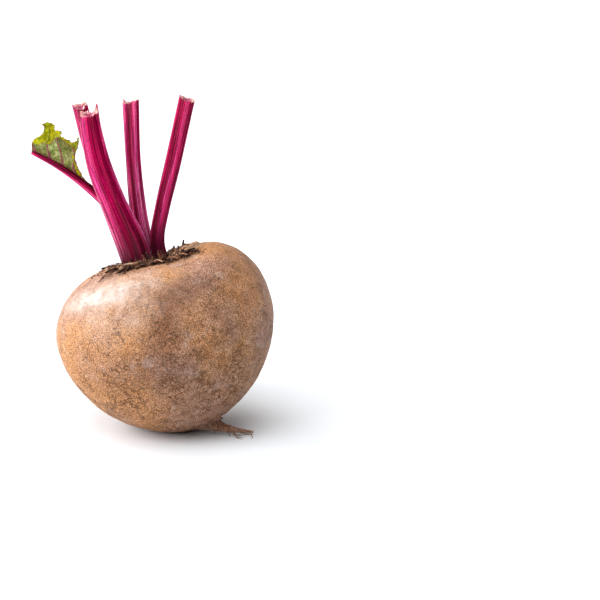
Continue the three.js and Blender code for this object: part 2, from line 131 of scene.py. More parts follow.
# Dry flakes: how many, the way round in degrees, the ring they start in, their start above the hollow's
# floor, how far they turn off straight outwards, rise and curl per step in radians, length and width. The
# same seeded rule places the solids.
FLAKE_SEED = 19
FLAKE_KINDS = [
    (26, (0, 360), (4, 11.5), -0.5, 2.4, (0.6, 1.35), (-0.25, 0.1), (3.2, 5.4), (1.8, 3.6)),
    (34, (58, 312), (13, 17.6), 0.3, 1.2, (-0.15, 0.28), (-0.3, 0.05), (3.4, 6.4), (2, 4.2)),
    (5, (-152, -112), (16.5, 17.6), 0.3, 0.7, (0, 0.2), (-0.4, -0.2), (8, 11), (2.4, 3.6)),
    (5, (-68, -42), (16, 17.6), 0.3, 0.9, (0, 0.3), (-0.4, -0.2), (5, 7), (2.4, 3.8)),
]
FLAKE_STEPS = 3
FLAKE_NARROWING = 0.38  # of a flake against its thick solid
# The shapes that are laid along their paths, modelled 1 wide and 1 long: divisions across and along, how much
# each narrows towards its tip, how far its sides bend up, how torn its tip is, and its thickness.
FLAKE_SHAPES = {
    "broad_flake_a": (4, 7, 0.6, -0.3, 0.2, 0.05),
    "broad_flake_b": (4, 7, 0.3, 0.5, 0.3, 0.05),
    "broad_flake_c": (4, 6, 0.8, -0.55, 0.2, 0.06),
    "splinter": (2, 6, 0.85, 0.35, 0.1, 0.2),
    "fibre": (1, 6, 0.85, 0.0, 0.0, 0.6),
}
LITTER_SEED = 5  # of the flakes' shapes, tones and twists, and of all the bits
FLAKE_TONES = (0.08, 0.16, 0.26, 0.38, 0.52, 0.75)
# Curled bits and fibres between them: how many, the way round, the ring, rise, curl over the whole length,
# and length.
BIT_STEPS = 5
BITS = [
    (200, (40, 330), (4, 12.5), (0.0, 0.9), (-2.4, 0.8), (1.2, 3.6)),
    (40, (-30, 40), (4, 10), (0.0, 0.4), (-2.0, 0.4), (1.0, 2.2)),
    (100, (-166, -128), (12, 18), (-0.2, 0.5), (-2.6, 1.8), (0.8, 2.6)),
    (460, (-128, -50), (12, 20.5), (-0.2, 0.6), (-2.6, 1.8), (0.7, 3.2)),
    (120, (-58, -41), (16, 24.4), (-0.2, 0.3), (-2.0, 1.0), (0.8, 2.2)),
    (60, (150, 192), (12.5, 18), (-0.2, 0.5), (-2, 0.5), (1.0, 2.6)),
    (60, (-40, 150), (11, 15), (-0.2, 0.1), (-1.5, 0.5), (0.8, 1.6)),
    (14, (-115, -60), (8, 15), (1.1, 1.5), (-0.6, 0.6), (3.2, 5.0)),
    (80, (-160, -36), (21, 28), (-0.1, 0.1), (-0.3, 0.3), (0.4, 1.1)),
]
BIT_BED = 0.7  # how high the cork stands under the bits
BIT_LIFT = 0.12  # of a bit's middle line above the skin or cork
FLAKE_LIFT = 0.35  # of a flake above the skin beyond the crown
GRAIN_LENGTH = 6.0  # the grain of a laid piece runs as if the piece were this long

# Loose flakes that lie out on the skin: width, tone, and the way round the crown in degrees, distance from
# its middle and lift above the skin.
LOOSE_FLAKES = [
    (0.55, 0.5, [(-136, 20, 0.6), (-134, 24, 0.5), (-133, 28.5, 0.5), (-134, 31.8, 0.3)]),
    (0.7, 0.95, [(-131, 25, 0.4), (-129, 27.5, 1.2), (-132, 29.6, 1.5), (-135, 28.2, 0.4)]),
    (0.45, 0.3, [(-131.5, 24.5, 0.3), (-130, 27, 0.3), (-132, 29, 0.4), (-134.5, 30.5, 0.3)]),
    (0.8, 0.45, [(-118, 19.5, 0.8), (-115, 22, 0.8), (-114, 24.5, 0.4), (-115, 27, 0.3)]),
    (1.3, 0.98, [(-128, 19, 1.2), (-121, 19.6, 1.6), (-115, 19.8, 1.5), (-110, 19.4, 1.0)]),
    (0.6, 0.35, [(-150, 19, 0.7), (-145, 21, 0.8), (-140, 22.5, 0.6), (-137, 24, 0.3)]),
    (1.1, 0.2, [(-48, 21.5, 0.5), (-46, 22.8, 0.9), (-44, 23.6, 0.8), (-42, 23.8, 0.4)]),
    (0.9, 0.12, [(-46, 21, 1.0), (-46, 23, 1.2), (-47, 25, 0.6), (-48, 26.2, 0.3)]),
    (0.9, 0.75, [(-60, 19.5, 0.9), (-57, 21.5, 1.3), (-55, 23, 0.8), (-54, 24.5, 0.3)]),
    (0.7, 0.25, [(-45, 21, 0.6), (-44, 23, 0.7), (-44, 25, 0.3), (-44.5, 27, 0.25)]),
    (0.9, 0.9, [(-88, 19, 0.9), (-84, 20.5, 1.4), (-81, 21.6, 0.9), (-79, 22.6, 0.3)]),
    (0.9, 0.8, [(-72, 19.5, 1.0), (-68, 21, 1.6), (-65, 22, 1.0), (-62, 22.6, 0.4)]),
]

# Leaf stalks. faces: the way the rounded side looks. channel: the depth of the groove along the inner side,
# as a share of half the thickness. bands: painted light and shade on the skin by the way it faces: the way
# each lighter or darker band looks, its spread and how much painted light it gives, where past 1 it greys to
# a dusty sheen and below 0 it is painted shade. olive: how olive the lips are near the foot. slope: the cut
# end's, across U and V. splinters: the way each stands, its spread and its height. stations: U, V, W, width
# and thickness.
STALK_SIDES = 160
STATION_SPACING = 1.1
END_RINGS = (0.95, 0.9, 0.82, 0.75, 0.65, 0.5)  # each as a share of the one before it
BROAD_RIBS = 8
FINE_RIBS = 30
BROAD_RIB_HEIGHT = 0.06  # these heights are shares of the half width
FINE_RIB_HEIGHT = 0.045
SLOW_WAVE_HEIGHT = 0.05
CHANNEL_WIDTH = 0.45  # as a share of the half width
CUT_REACH = 4  # the cut end is torn over this last stretch
CUT_HOLLOW = 1.1  # the pith's depth below the rind
JAG_HEIGHT = 0.7
# Along a stalk: where its dark foot ends, where its lips turn from olive, and where a cut stalk's bands fade,
# with how much of a band of painted light and of a band of painted shade goes.
FOOT_ENDS = (5, 24)
OLIVE_ENDS = (18, 34)
BANDS_FADE = (24, 58)
PALE_LOSS = 0.35
DARK_LOSS = 0.85
LIP_WIDTH = 0.0632  # as a share of the half thickness
STALKS = {
    "stalk_front": {
        "faces": 242, "channel": 0.55, "olive": 1, "slope": (0.1, 0.42),
        "bands": [(206, 29, 1.1), (278, 24, -0.4), (324, 16, 0.95)],
        "splinters": [(342, 8, 3.2), (150, 20, 0.8)],
        "stations": [
            (-3.6, -4.4, 26, 12.6, 6.4),
            (-3.8, -5.6, 38.4, 13, 7),
            (-6.1, -6.8, 56, 11.2, 6.6),
            (-7.4, -7.8, 71.2, 10.6, 6.4),
            (-6.6, -8.6, 84.5, 9, 6),
            (-5.4, -9, 92.6, 7.8, 5.8),
        ],
    },
    "stalk_back": {
        "faces": 170, "channel": 0.55, "olive": 0, "slope": (-0.25, 0.4),
        "bands": [(205, 45, 0.9)],
        "splinters": [(200, 30, 0.9), (60, 20, 1.0)],
        "stations": [
            (-7.4, 5.2, 26, 7.4, 5),
            (-7, 5, 38, 7.4, 5.4),
            (-8.4, 4.4, 58, 7, 6),
            (-9.3, 3.2, 80, 6.6, 6),
            (-8.7, 2.4, 97.4, 6.6, 6.2),
        ],
    },
    "stalk_middle": {
        "faces": 72, "channel": 0.4, "olive": 0, "slope": (0.05, 0.5),
        "bands": [(206, 28, 1.35), (250, 6, -0.4), (277, 18, 1.0), (300, 11, 1.3), (342, 18, 1.1)],
        "splinters": [(182, 8, 1.6), (300, 28, 1.0), (350, 35, 1.1)],
        "stations": [
            (0.9, 5.6, 26, 6.4, 5),
            (0.8, 6.6, 39.5, 6.6, 5.2),
            (2, 8.4, 53.6, 6.6, 5.2),
            (5.3, 11.6, 72.3, 6.1, 5),
            (10.5, 14, 94.6, 6.8, 4.8),
        ],
    },
    "stalk_right": {
        "faces": 72, "channel": 0.22, "olive": 0, "slope": (-0.2, 0.4),
        "bands": [(198, 38, 0.12), (252, 12, -0.2), (274, 8, 0.7), (300, 18, 0.1), (340, 20, 0.25)],
        "splinters": [(190, 12, 0.8)],
        "stations": [
            (5.4, -1, 26, 6.2, 5),
            (6.2, -0.8, 37.2, 5.7, 5.4),
            (11.5, 0, 48.8, 5.8, 5.6),
            (20.9, 1.4, 65.9, 6.5, 5.6),
            (33.1, 2.6, 88.6, 6.6, 5.6),
        ],
    },
    "leaf_stalk": {
        "faces": 225, "channel": 0.4, "olive": 0, "slope": (0, 0),
        "bands": [(205, 45, 0.55), (330, 42, -0.8)],
        "splinters": [],
        "stations": [
            (-2.8, 10, 26, 4.8, 4),
            (-4, 11, 38, 4.4, 3.8),
            (-9, 12, 54.8, 3.9, 3.5),
            (-15.8, 12, 66.4, 3.1, 3.1),
            (-24.1, 11, 77.1, 2.6, 2.6),
            (-33.3, 10, 86, 1.7, 1.7),
        ],
    },
}

# The torn leaf, along its stalk from one share to the other: a web, and above it two sheets that part to the
# front and back of a middle that cups to and fro.
LEAF_FROM, LEAF_TO = 0.46, 1.08
LEAF_RUN = 60  # millimetres to a whole share, past the stalk's end
LEAF_WEB = 4.0
LEAF_CUP = 0.06  # sideways, as a share of the height
LEAF_PARTING = 0.03  # of the middle towards the front, as a share of the height over the web
LEAF_VOXEL = 0.2
LEAF_THINNING = 0.2  # taken off each face of the solid's sheet
LEAF_TATTER = 0.55  # of the edge, in and out
LEAF_TATTER_SIZE = 0.8
LEAF_TATTER_REACH = 0.5  # in from the edge
LEAF_BROWN_REACH = 0.3  # of the torn edge's brown
LEAF_CRINKLE = 0.38
LEAF_CRINKLE_SIZES = (2.3, 1.1)  # the finer one is half as high
LEAF_VEIN_RISE = 0.22
LEAF_TUCK = 1.3  # of the web's foot down into its stalk
LEAF_TUCK_ENDS = (1.6, 5)  # heights above the stalk between which the tuck fades
LEAF_FOLD_ENDS = (1.5, 6)  # and the shade in the fold
LEAF_GAP = (-18.3, 11)  # right of this U and less than this above the stalk, the near sheet is torn away
LEAF_VEIN_WIDTH = 0.34
LEAF_VEINS = [
    [(-27.3, 81.2), (-26.9, 84.3), (-26.6, 87.8), (-26.9, 89.8), (-27.7, 91.5)],
    [(-26.6, 88.1), (-25.8, 89.2), (-24.5, 91.8), (-24.2, 94.7)],
    [(-22.9, 76.7), (-22.5, 79.8), (-22, 82.9), (-22.2, 85.6), (-21.9, 87.4), (-21.7, 89.3)],
    [(-19.1, 72.2), (-19, 75.6), (-18, 77.9), (-17.1, 79.9), (-16.8, 83.4)],
    [(-31.5, 85), (-31.9, 87.1), (-32.3, 88.8)],
    [(-16.1, 70.7), (-17.2, 73.7), (-17.5, 76.7), (-17.1, 79.2)],
]

# ---- Camera: the root's middle falls on this point of a frame of this many pixels ----

FRAME_PIXELS = 600
ROOT_PIXEL = (168.1, 334.1)
CAMERA_ELEVATION = math.radians(16)
CAMERA_DISTANCE = 900.0
LENS = 135.0
SENSOR = 36.0


# ---- Tools ----

def to_world(points):
    """Points of the root's frame in world millimetres."""
    return np.asarray(points) @ np.array(LEAN).T + np.array(ROOT_MIDDLE)


def to_root(points):
    """World millimetres in the root's frame."""
    return (np.asarray(points) - np.array(ROOT_MIDDLE)) @ np.array(LEAN)


def read_points(piece):
    """A piece's vertices in the root's frame, in millimetres."""
    flat = np.empty(len(piece.data.vertices) * 3)
    piece.data.vertices.foreach_get("co", flat)
    return to_root(flat.reshape(-1, 3) / MM)


def write_points(piece, points):
    """Moves a piece's vertices to points in the root's frame."""
    piece.data.vertices.foreach_set("co", (to_world(points) * MM).ravel())
    piece.data.update()


def read_normals(piece):
    """The way each of a piece's vertices faces, in the root's frame."""
    flat = np.empty(len(piece.data.vertices) * 3)
    piece.data.vertices.foreach_get("normal", flat)
    return flat.reshape(-1, 3) @ np.array(LEAN)


def mark(piece, name, values):
    """Stores a number for each vertex, or one for them all, for a material to read."""
    layer = piece.data.attributes.new(name, "FLOAT", "POINT")
    layer.data.foreach_set("value", np.full(len(piece.data.vertices), values, dtype=np.float32))


def mark_grain(piece, points):
    """Stores straightened coordinates in metres, for patterns that follow a bent piece."""
    layer = piece.data.attributes.new("grain", "FLOAT_VECTOR", "POINT")
    layer.data.foreach_set("vector", (np.asarray(points) * MM).astype(np.float32).ravel())


def take(piece):
    """Makes a piece the only one selected, and active."""
    bpy.ops.object.select_all(action="DESELECT")
    bpy.context.view_layer.objects.active = piece
    piece.select_set(True)
    return piece


def started(name, primitive, **settings):
    """A new primitive, the only piece selected, with its place in its mesh."""
    bpy.ops.object.select_all(action="DESELECT")
    primitive(**settings)
    bpy.ops.object.transform_apply()
    bpy.context.object.name = name
    return bpy.context.object


def open_whole():
    """Opens the active piece's mesh with all of it selected."""
    bpy.ops.object.mode_set(mode="EDIT")
    bpy.ops.mesh.select_all(action="SELECT")


def close_outwards():
    """Turns the faces of the open mesh outwards and closes it."""
    bpy.ops.mesh.select_all(action="SELECT")
    bpy.ops.mesh.normals_make_consistent(inside=False)
    bpy.ops.object.mode_set(mode="OBJECT")


def finish_with(piece, kind, **settings):
    """Adds a modifier and applies it."""
    modifier = take(piece).modifiers.new(kind.title(), kind)
    for key, value in settings.items():
        setattr(modifier, key, value)
    bpy.ops.object.modifier_apply(modifier=modifier.name)


def merged_copy(node, name):
    """A copy of a CAD node with its loose triangles merged, to be reshaped."""
    piece = bpy.data.objects.new(name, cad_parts[node].data.copy())
    bpy.context.collection.objects.link(piece)
    take(piece)
    open_whole()
    bpy.ops.mesh.remove_doubles(threshold=0.001 * MM)
    bpy.ops.object.mode_set(mode="OBJECT")
    return piece


def joined(pieces, name):
    """Many pieces made one."""
    take(pieces[0])
    for piece in pieces:
        piece.select_set(True)
    bpy.ops.object.join()
    pieces[0].name = name
    return pieces[0]


def dress(piece, material, slot, *nodes):
    """Gives a finished piece its smooth shading, its material and its place in the frame."""
    take(piece)
    bpy.ops.object.shade_smooth()
    piece.data.materials.clear()
    piece.data.materials.append(material)
    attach(piece, "root")
    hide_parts(*nodes)


def step_between(low, high, value):
    """0 below low, 1 above high and smooth in between, for numbers and arrays."""
    share = np.clip((value - low) / (high - low), 0, 1)
    return share * share * (3 - 2 * share)


def bell(*offs):
    """1 in the middle of a spot, thinning out to 0; each off is a distance over its spread."""
    return np.exp(-sum(off * off for off in offs))


def turned(start, end):
    """Degrees from one direction round to another, between -180 and 180."""
    return (end - start + 180) % 360 - 180


def heading(turn, tilt=0.0):
    """The unit vector that points this far round from U and this far up, in radians."""
    return Vector((math.cos(turn) * math.cos(tilt), math.sin(turn) * math.cos(tilt), math.sin(tilt)))


def round_crown(turn, radius):
    """A place in plan: the way round the crown's middle in radians, and how far from it."""
    return BASIN_U + radius * math.cos(turn), BASIN_V + radius * math.sin(turn)


def from_crown(u, v):
    """How far a place in plan is from the crown's middle."""
    return np.hypot(u - BASIN_U, v - BASIN_V)


# ---- Materials ----

def linear(code):
    """The linear colour of an sRGB hex code."""
    parts = [int(code[i : i + 2], 16) / 255 for i in (1, 3, 5)]
    return [p / 12.92 if p <= 0.04045 else ((p + 0.055) / 1.055) ** 2.4 for p in parts] + [1.0]


def feed(node, **inputs):
    """Gives a node its inputs, each a value or a socket to link.

    An underscore in an input's name stands for a space, and input7 is number 7 in the node's list, from 0.
    """
    for key, value in inputs.items():
        socket = node.inputs[int(key[5:]) if key.startswith("input") else key.replace("_", " ")]
        if isinstance(value, bpy.types.NodeSocket):
            node.id_data.links.new(value, socket)
        else:
            socket.default_value = value


def add(tree, kind, settings=None, stops=(), out=0, **inputs):
    """Adds a node with its settings, a ramp's stops and its inputs, and gives its output."""
    made = tree.nodes.new("ShaderNode" + kind)
    for key, value in (settings or {}).items():
        setattr(made, key, value)
    for index, (place, colour) in enumerate(stops):
        elements = made.color_ramp.elements
        stop = elements[index] if index < len(elements) else elements.new(place)
        stop.position, stop.color = place, linear(colour)
    feed(made, **inputs)
    return made.outputs[out]


def new_material(name):
    """A material, its tree and its shader."""
    material = bpy.data.materials.new(name)
    material.use_nodes = True
    return material, material.node_tree, material.node_tree.nodes["Principled BSDF"]


# Each material's coats lie one over another: how each covers the colour below, how much, and its own colour.
# Overlay lightens or darkens with its grey, and leaves the colour alone at #bcbcbc.
MIX, OVERLAY, MULTIPLY = [
    {"data_type": "RGBA", "blend_type": blend} for blend in ("MIX", "OVERLAY", "MULTIPLY")
]


def periderm():
    """Corky beet skin, washed and dry: satin where sound, finely grained, creased and crazed low down, with a
    painted highlight on the upper left shoulder and painted shade across the front.
    """
    material, tree, shader = new_material("beet_skin_periderm")
    place = add(tree, "TexCoord", out="Object")
    low, painted_shade, golden, rim, rubbed_and_highlight = [
        add(tree, "Attribute", {"attribute_name": name}, out="Fac")
        for name in ("low", "painted_shade", "golden", "rim", "rubbed_and_highlight")
    ]
    # Patches of 15 to 25 mm: golden where the cork is thin, grey-buff where it is thick.
    patches = add(tree, "TexNoise", Vector=place, Scale=44.0, Detail=4.0, Roughness=0.55)
    colour = add(
        tree, "ValToRGB", Fac=patches,
        stops=[(0.3, "#be7d3a"), (0.45, "#b07f52"), (0.57, "#9b745f"), (0.72, "#8a6a60")],
    )
    # Mottling of 2 to 5 mm.
    mottle = add(tree, "TexNoise", Vector=place, Scale=230.0, Detail=6.0, Roughness=0.66)
    mottled = add(
        tree, "ValToRGB", Fac=mottle,
        stops=[(0.3, "#7e5442"), (0.45, "#a3765c"), (0.58, "#bd8f74"), (0.72, "#d4b0a0")],
    )
    # Grain: cork cells and dust, 0.1 mm on the real skin and drawn at 0.4 mm.
    grain = add(tree, "TexNoise", Vector=place, Scale=2300.0, Detail=2.0, Roughness=0.7)
    speckle = add(tree, "ValToRGB", Fac=grain, stops=[(0.36, "#323232"), (0.5, "#bcbcbc"), (0.64, "#fafafa")])
    # Creases: wavy lines 3 to 5 mm apart that come and go, thicker towards the tap root, and finer ones.
    warp = add(tree, "TexNoise", Vector=place, Scale=240.0, Detail=3.0, Roughness=0.6, out="Color")
    bent = add(
        tree, "VectorMath", {"operation": "MULTIPLY_ADD"}, input0=warp, input1=(0.009,) * 3, input2=place
    )
    bent = add(tree, "VectorMath", {"operation": "MULTIPLY"}, input0=bent, input1=(1.0, 1.0, 1.6))
    net = add(tree, "TexVoronoi", {"feature": "DISTANCE_TO_EDGE"}, Vector=bent, Scale=200.0)
    come = add(tree, "TexNoise", Vector=place, Scale=130.0, Detail=2.0)
    there = add(tree, "MapRange", Value=come, input1=0.42, input2=0.6, input3=0.0, input4=0.095)
    width = add(tree, "Math", {"operation": "MULTIPLY"}, input0=there, input1=low)
    crease = add(tree, "MapRange", Value=net, input1=0.0, input2=width, input3=1.3, input4=0.0)
    fine_net = add(tree, "TexVoronoi", {"feature": "DISTANCE_TO_EDGE"}, Vector=bent, Scale=430.0)
    fine_crease = add(tree, "MapRange", Value=fine_net, input1=0.0, input2=0.1, input3=0.55, input4=0.0)
    fine_crease = add(tree, "Math", {"operation": "MULTIPLY"}, input0=fine_crease, input1=low)
    lines = add(tree, "Math", {"operation": "MAXIMUM"}, input0=crease, input1=fine_crease)
    # Pores of up to half a millimetre.
    pore_place = add(tree, "TexVoronoi", Vector=place, Scale=520.0)
    pores = add(tree, "MapRange", Value=pore_place, input1=0.1, input2=0.2, input3=0.7, input4=0.0)
    # Scuffs: pale rubbed cork, and over the upper left shoulder a painted highlight, broken up by the
    # mottling.
    scuff = add(tree, "TexNoise", Vector=place, Scale=95.0, Detail=5.0, Roughness=0.7)
    scuffs_and_highlight = add(tree, "MapRange", Value=scuff, input1=0.58, input2=0.72, input3=0.0, input4=0.4)
    worn_and_highlight = add(tree, "MapRange", Value=mottle, input1=0.34, input2=0.6, input3=0.4, input4=1.0)
    worn_and_highlight = add(tree, "Math", {"operation": "MULTIPLY"}, input0=worn_and_highlight, input1=rubbed_and_highlight)
    scuffs_and_highlight = add(tree, "Math", {"operation": "MAXIMUM"}, input0=scuffs_and_highlight, input1=worn_and_highlight)
    coats = [
        (MIX, 0.5, mottled),
        (MIX, golden, linear("#cd8e50")),
        (OVERLAY, 0.75, speckle),
        (MIX, lines, linear("#744b2e")),
        (MIX, pores, linear("#6b4832")),
        # Pale rubbed cork, and the painted highlight on the upper left shoulder.
        (MIX, scuffs_and_highlight, linear("#ccbfb8")),
        # Painted shade along the furrow across the front and low on the front.
        (MULTIPLY, painted_shade, linear("#8a7074")),
        (MIX, rim, linear("#755138")),
    ]
    for blend, cover, coat in coats:
        colour = add(tree, "Mix", blend, out=2, Factor=cover, input6=colour, input7=coat)
    rough = add(tree, "MapRange", Value=mottle, input1=0.3, input2=0.7, input3=0.66, input4=0.52)
    relief = add(tree, "Bump", Height=grain, Strength=0.55, Distance=0.0002)
    relief = add(tree, "Bump", Height=mottle, Strength=0.55, Distance=0.0007, Normal=relief)
    relief = add(tree, "Bump", {"invert": True}, Height=lines, Strength=0.8, Distance=0.0003, Normal=relief)
    feed(shader, Base_Color=colour, Roughness=rough, Specular_IOR_Level=0.22, Normal=relief)
    return material


def dry_scale():
    """Withered leaf bases: papery and fibrous, from umber to straw."""
    material, tree, shader = new_material("withered_leaf_base")
    grain = add(tree, "Attribute", {"attribute_name": "grain"}, out="Vector")
    tone = add(tree, "Attribute", {"attribute_name": "tone"}, out="Fac")
    # Fibres of 0.05 mm along each flake, drawn at 0.4 mm.
    fibres = add(tree, "Mapping", Vector=grain, Scale=(1.0, 0.12, 1.0))
    streak = add(tree, "TexNoise", Vector=fibres, Scale=2600.0, Detail=3.0)
    colour = add(
        tree, "ValToRGB", Fac=tone,
        stops=[(0.0, "#1f120d"), (0.35, "#3f241a"), (0.6, "#6b432f"), (0.82, "#9a6c52"), (1.0, "#c39a7e")],
    )
    streaks = add(tree, "ValToRGB", Fac=streak, stops=[(0.3, "#6a6a6a"), (0.7, "#eeeeee")])
    colour = add(tree, "Mix", OVERLAY, out=2, Factor=0.6, input6=colour, input7=streaks)
    relief = add(tree, "Bump", Height=streak, Strength=0.6, Distance=0.00015)
    feed(shader, Base_Color=colour, Roughness=0.75, Specular_IOR_Level=0.2, Normal=relief)
    return material


def corky_crown():
    """The cork of old leaf scars: dull and cracked, with painted shade darkening its low rings and pits."""
    material, tree, shader = new_material("corky_crown")
    place = add(tree, "TexCoord", out="Object")
    tone, bare = [add(tree, "Attribute", {"attribute_name": name}, out="Fac") for name in ("tone", "bare")]
    # Grain of 1 to 2 mm.
    mottle = add(tree, "TexNoise", Vector=place, Scale=700.0, Detail=4.0, Roughness=0.65)
    speckle = add(tree, "ValToRGB", Fac=mottle, stops=[(0.3, "#5c5c5c"), (0.7, "#f0f0f0")])
    colour = add(
        tree, "ValToRGB", Fac=tone,
        stops=[(0.0, "#1f140f"), (0.4, "#4a3122"), (0.75, "#7d5b42"), (1.0, "#a37c58")],
    )
    colour = add(tree, "Mix", MIX, out=2, Factor=bare, input6=colour, input7=linear("#a0795c"))
    colour = add(tree, "Mix", OVERLAY, out=2, Factor=0.7, input6=colour, input7=speckle)
    relief = add(tree, "Bump", Height=mottle, Strength=0.8, Distance=0.0005)
    feed(shader, Base_Color=colour, Roughness=0.82, Normal=relief)
    return material


def petiole():
    """Fresh beet stalk: taut, faintly waxy crimson skin over pink flesh, with pale and dark threads, and
    painted light and shade down its sides.
    """
    material, tree, shader = new_material("beet_stalk_skin")
    grain = add(tree, "Attribute", {"attribute_name": "grain"}, out="Vector")
    painted_light, crest_highlight, groove_shade, shade, margin, foot, cut, core = [
        add(tree, "Attribute", {"attribute_name": name}, out="Fac")
        for name in ("painted_light", "crest_highlight", "groove_shade", "shade", "margin", "foot", "cut", "core")
    ]
    # Bands of 2 mm and threads of half a millimetre, drawn out along the stalk.
    along = add(tree, "Mapping", Vector=grain, Scale=(1.0, 1.0, 0.03))
    bands = add(tree, "TexNoise", Vector=along, Scale=430.0, Detail=2.0, Roughness=0.5)
    threads = add(tree, "TexNoise", Vector=along, Scale=2000.0, Detail=2.0, Roughness=0.6)
    contrast = add(tree, "ValToRGB", Fac=threads, stops=[(0.36, "#5e5e5e"), (0.64, "#fafafa")])
    colour = add(
        tree, "ValToRGB", Fac=bands,
        stops=[(0.32, "#54001c"), (0.46, "#7a002c"), (0.58, "#98003e"), (0.74, "#b0044c")],
    )
    light = add(
        tree, "ValToRGB", Fac=bands,
        stops=[(0.32, "#9a0448"), (0.46, "#be0c60"), (0.58, "#cc287c"), (0.74, "#d65ea2")],
    )
    # Where the painted light is strongest, the skin greys to a dusty sheen.
    dust_and_sheen = add(tree, "MapRange", Value=painted_light, input1=0.9, input2=1.6, input3=0.0, input4=0.5)
    # The colour of the painted highlights on the rib crests, pinker where the painted light falls.
    ridge_highlight = add(tree, "Mix", MIX, out=2, Factor=painted_light, input6=linear("#960c46"), input7=linear("#d98aa8"))
    # Fibres of a fifth of a millimetre that show grey-green through the skin, only where the painted light
    # falls.
    fibre = add(tree, "MapRange", Value=threads, input1=0.56, input2=0.66, input3=0.0, input4=0.42)
    fibre = add(tree, "Math", {"operation": "MULTIPLY"}, input0=fibre, input1=painted_light)
    # Pale dots of the skin's cells, drawn at 0.4 mm.
    cells = add(tree, "TexNoise", Vector=grain, Scale=2400.0, Detail=1.0)
    dots = add(tree, "ValToRGB", Fac=cells, stops=[(0.38, "#949494"), (0.62, "#dedede")])
    # The cut: a straw-coloured rind round crimson pith, in crumbs of under a millimetre.
    flesh = add(tree, "TexNoise", Vector=grain, Scale=1300.0, Detail=3.0, Roughness=0.7)
    rind = add(tree, "ValToRGB", Fac=flesh, stops=[(0.36, "#b0486c"), (0.47, "#cfae94"), (0.6, "#ecdcc6")])
    pith = add(tree, "ValToRGB", Fac=flesh, stops=[(0.36, "#6e0a38"), (0.5, "#a92a66"), (0.66, "#cf8a9e")])
    inside = add(tree, "Mix", MIX, out=2, Factor=core, input6=rind, input7=pith)
    # The first coats paint light and shade: the lit side paler, greying where brightest, highlights on the
    # rib crests, shade in the grooves and on the dark side.
    coats = [
        (MIX, painted_light, light),
        (MIX, dust_and_sheen, linear("#b17486")),
        (MIX, fibre, linear("#87705c")),
        (MIX, crest_highlight, ridge_highlight),
        (MULTIPLY, groove_shade, linear("#a06878")),
        (MIX, shade, linear("#3f0a1c")),
        (OVERLAY, 0.75, contrast),
        (OVERLAY, 0.7, dots),
        (MIX, margin, linear("#8c7a48")),
        (MIX, foot, linear("#3d101c")),
        (MIX, cut, inside),
    ]
    for blend, cover, coat in coats:
        colour = add(tree, "Mix", blend, out=2, Factor=cover, input6=colour, input7=coat)
    relief = add(tree, "Bump", Height=threads, Strength=0.4, Distance=0.0002)
    feed(
        shader, Base_Color=colour, Roughness=0.3, Specular_IOR_Level=0.08, Normal=relief,
        Subsurface_Weight=0.25, Subsurface_Radius=(1.0, 0.15, 0.35), Subsurface_Scale=0.003,
    )
    return material


def leaf_blade():
    """Beet leaf: thin and crinkled, yellow-green above and grey-green on its underside."""
    material, tree, shader = new_material("beet_leaf_blade")
    place = add(tree, "TexCoord", out="Object")
    vein, underside, torn_edge, fold_shade = [
        add(tree, "Attribute", {"attribute_name": name}, out="Fac")
        for name in ("vein", "underside", "torn_edge", "fold_shade")
    ]
    # Mottling of 2 to 3 mm.
    mottle = add(tree, "TexNoise", Vector=place, Scale=420.0, Detail=4.0, Roughness=0.6)
    under = add(tree, "ValToRGB", Fac=mottle, stops=[(0.34, "#626c2c"), (0.5, "#858f4c"), (0.66, "#a9b174")])
    colour = add(tree, "ValToRGB", Fac=mottle, stops=[(0.32, "#748c02"), (0.5, "#a6aa02"), (0.66, "#ccc408")])
    # Hairs and pale dots of a tenth of a millimetre, drawn at 0.4 mm.
    speck = add(tree, "TexNoise", Vector=place, Scale=2400.0, Detail=2.0)
    specks = add(tree, "ValToRGB", Fac=speck, stops=[(0.35, "#6a6a6a"), (0.65, "#eeeeee")])
    ribs = add(
        tree, "Mix", MIX, out=2, Factor=underside, input6=linear("#7c7a18"), input7=linear("#8f2658")
    )
    coats = [
        (MIX, underside, under),
        (OVERLAY, 0.6, specks),
        # Painted shade in the fold by the stalk.
        (MULTIPLY, fold_shade, linear("#b59a8c")),
        (MIX, vein, ribs),
        (MIX, torn_edge, linear("#94592e")),
    ]
    for blend, cover, coat in coats:
        colour = add(tree, "Mix", blend, out=2, Factor=cover, input6=colour, input7=coat)
    relief = add(tree, "Bump", Height=mottle, Strength=0.5, Distance=0.0004)
    feed(
        shader, Base_Color=colour, Roughness=0.42, Specular_IOR_Level=0.15, Normal=relief,
        Subsurface_Weight=0.15, Subsurface_Radius=(0.6, 1.0, 0.15), Subsurface_Scale=0.0006,
    )
    return material


def white_paper():
    """Matt background paper."""
    material, _, shader = new_material("white_paper")
    feed(shader, Base_Color=linear("#e6eaee"), Roughness=0.95, Specular_IOR_Level=0.1)
    return material


# ---- The root ----

def lump_rise(around, level, radius):
    """How far the skin swells out at a place; around in radians."""
    total = 0.0
    for centre, height, wide, tall, rise in TOP_LUMPS:
        total += rise * bell(turned(centre, math.degrees(around)) / wide, (level - height) / tall)
    return float(total * step_between(6, 18, radius))


def top_level(u, v):
    """The skin's level on the root's top, over a place in plan."""
    share = min(math.hypot(u, v) / ROOT_RADIUS, 1)
    height = math.acos(share ** (SHOULDER_POWER / 2))
    around = math.atan2(v, u)
    radius = ROOT_RADIUS * math.cos(height) ** (2 / SHOULDER_POWER)
    rise = SHOULDER_RISE * math.sin(height) ** (2 / SHOULDER_POWER)
    x, y = radius * math.cos(around), radius * math.sin(around)
    outward = Vector((x, y, rise * (ROOT_RADIUS / SHOULDER_RISE) ** 2)).normalized()
    level = WIDEST_LEVEL + rise
    point = Vector((x, y, level)) + outward * lump_rise(around, level, radius)
    away = float(from_crown(point.x, point.y)) / BASIN_RADIUS
    sink = BASIN_DEPTH * 0.5 * (1 + math.cos(math.pi * away)) if away < 1 else 0
    return point.z - sink


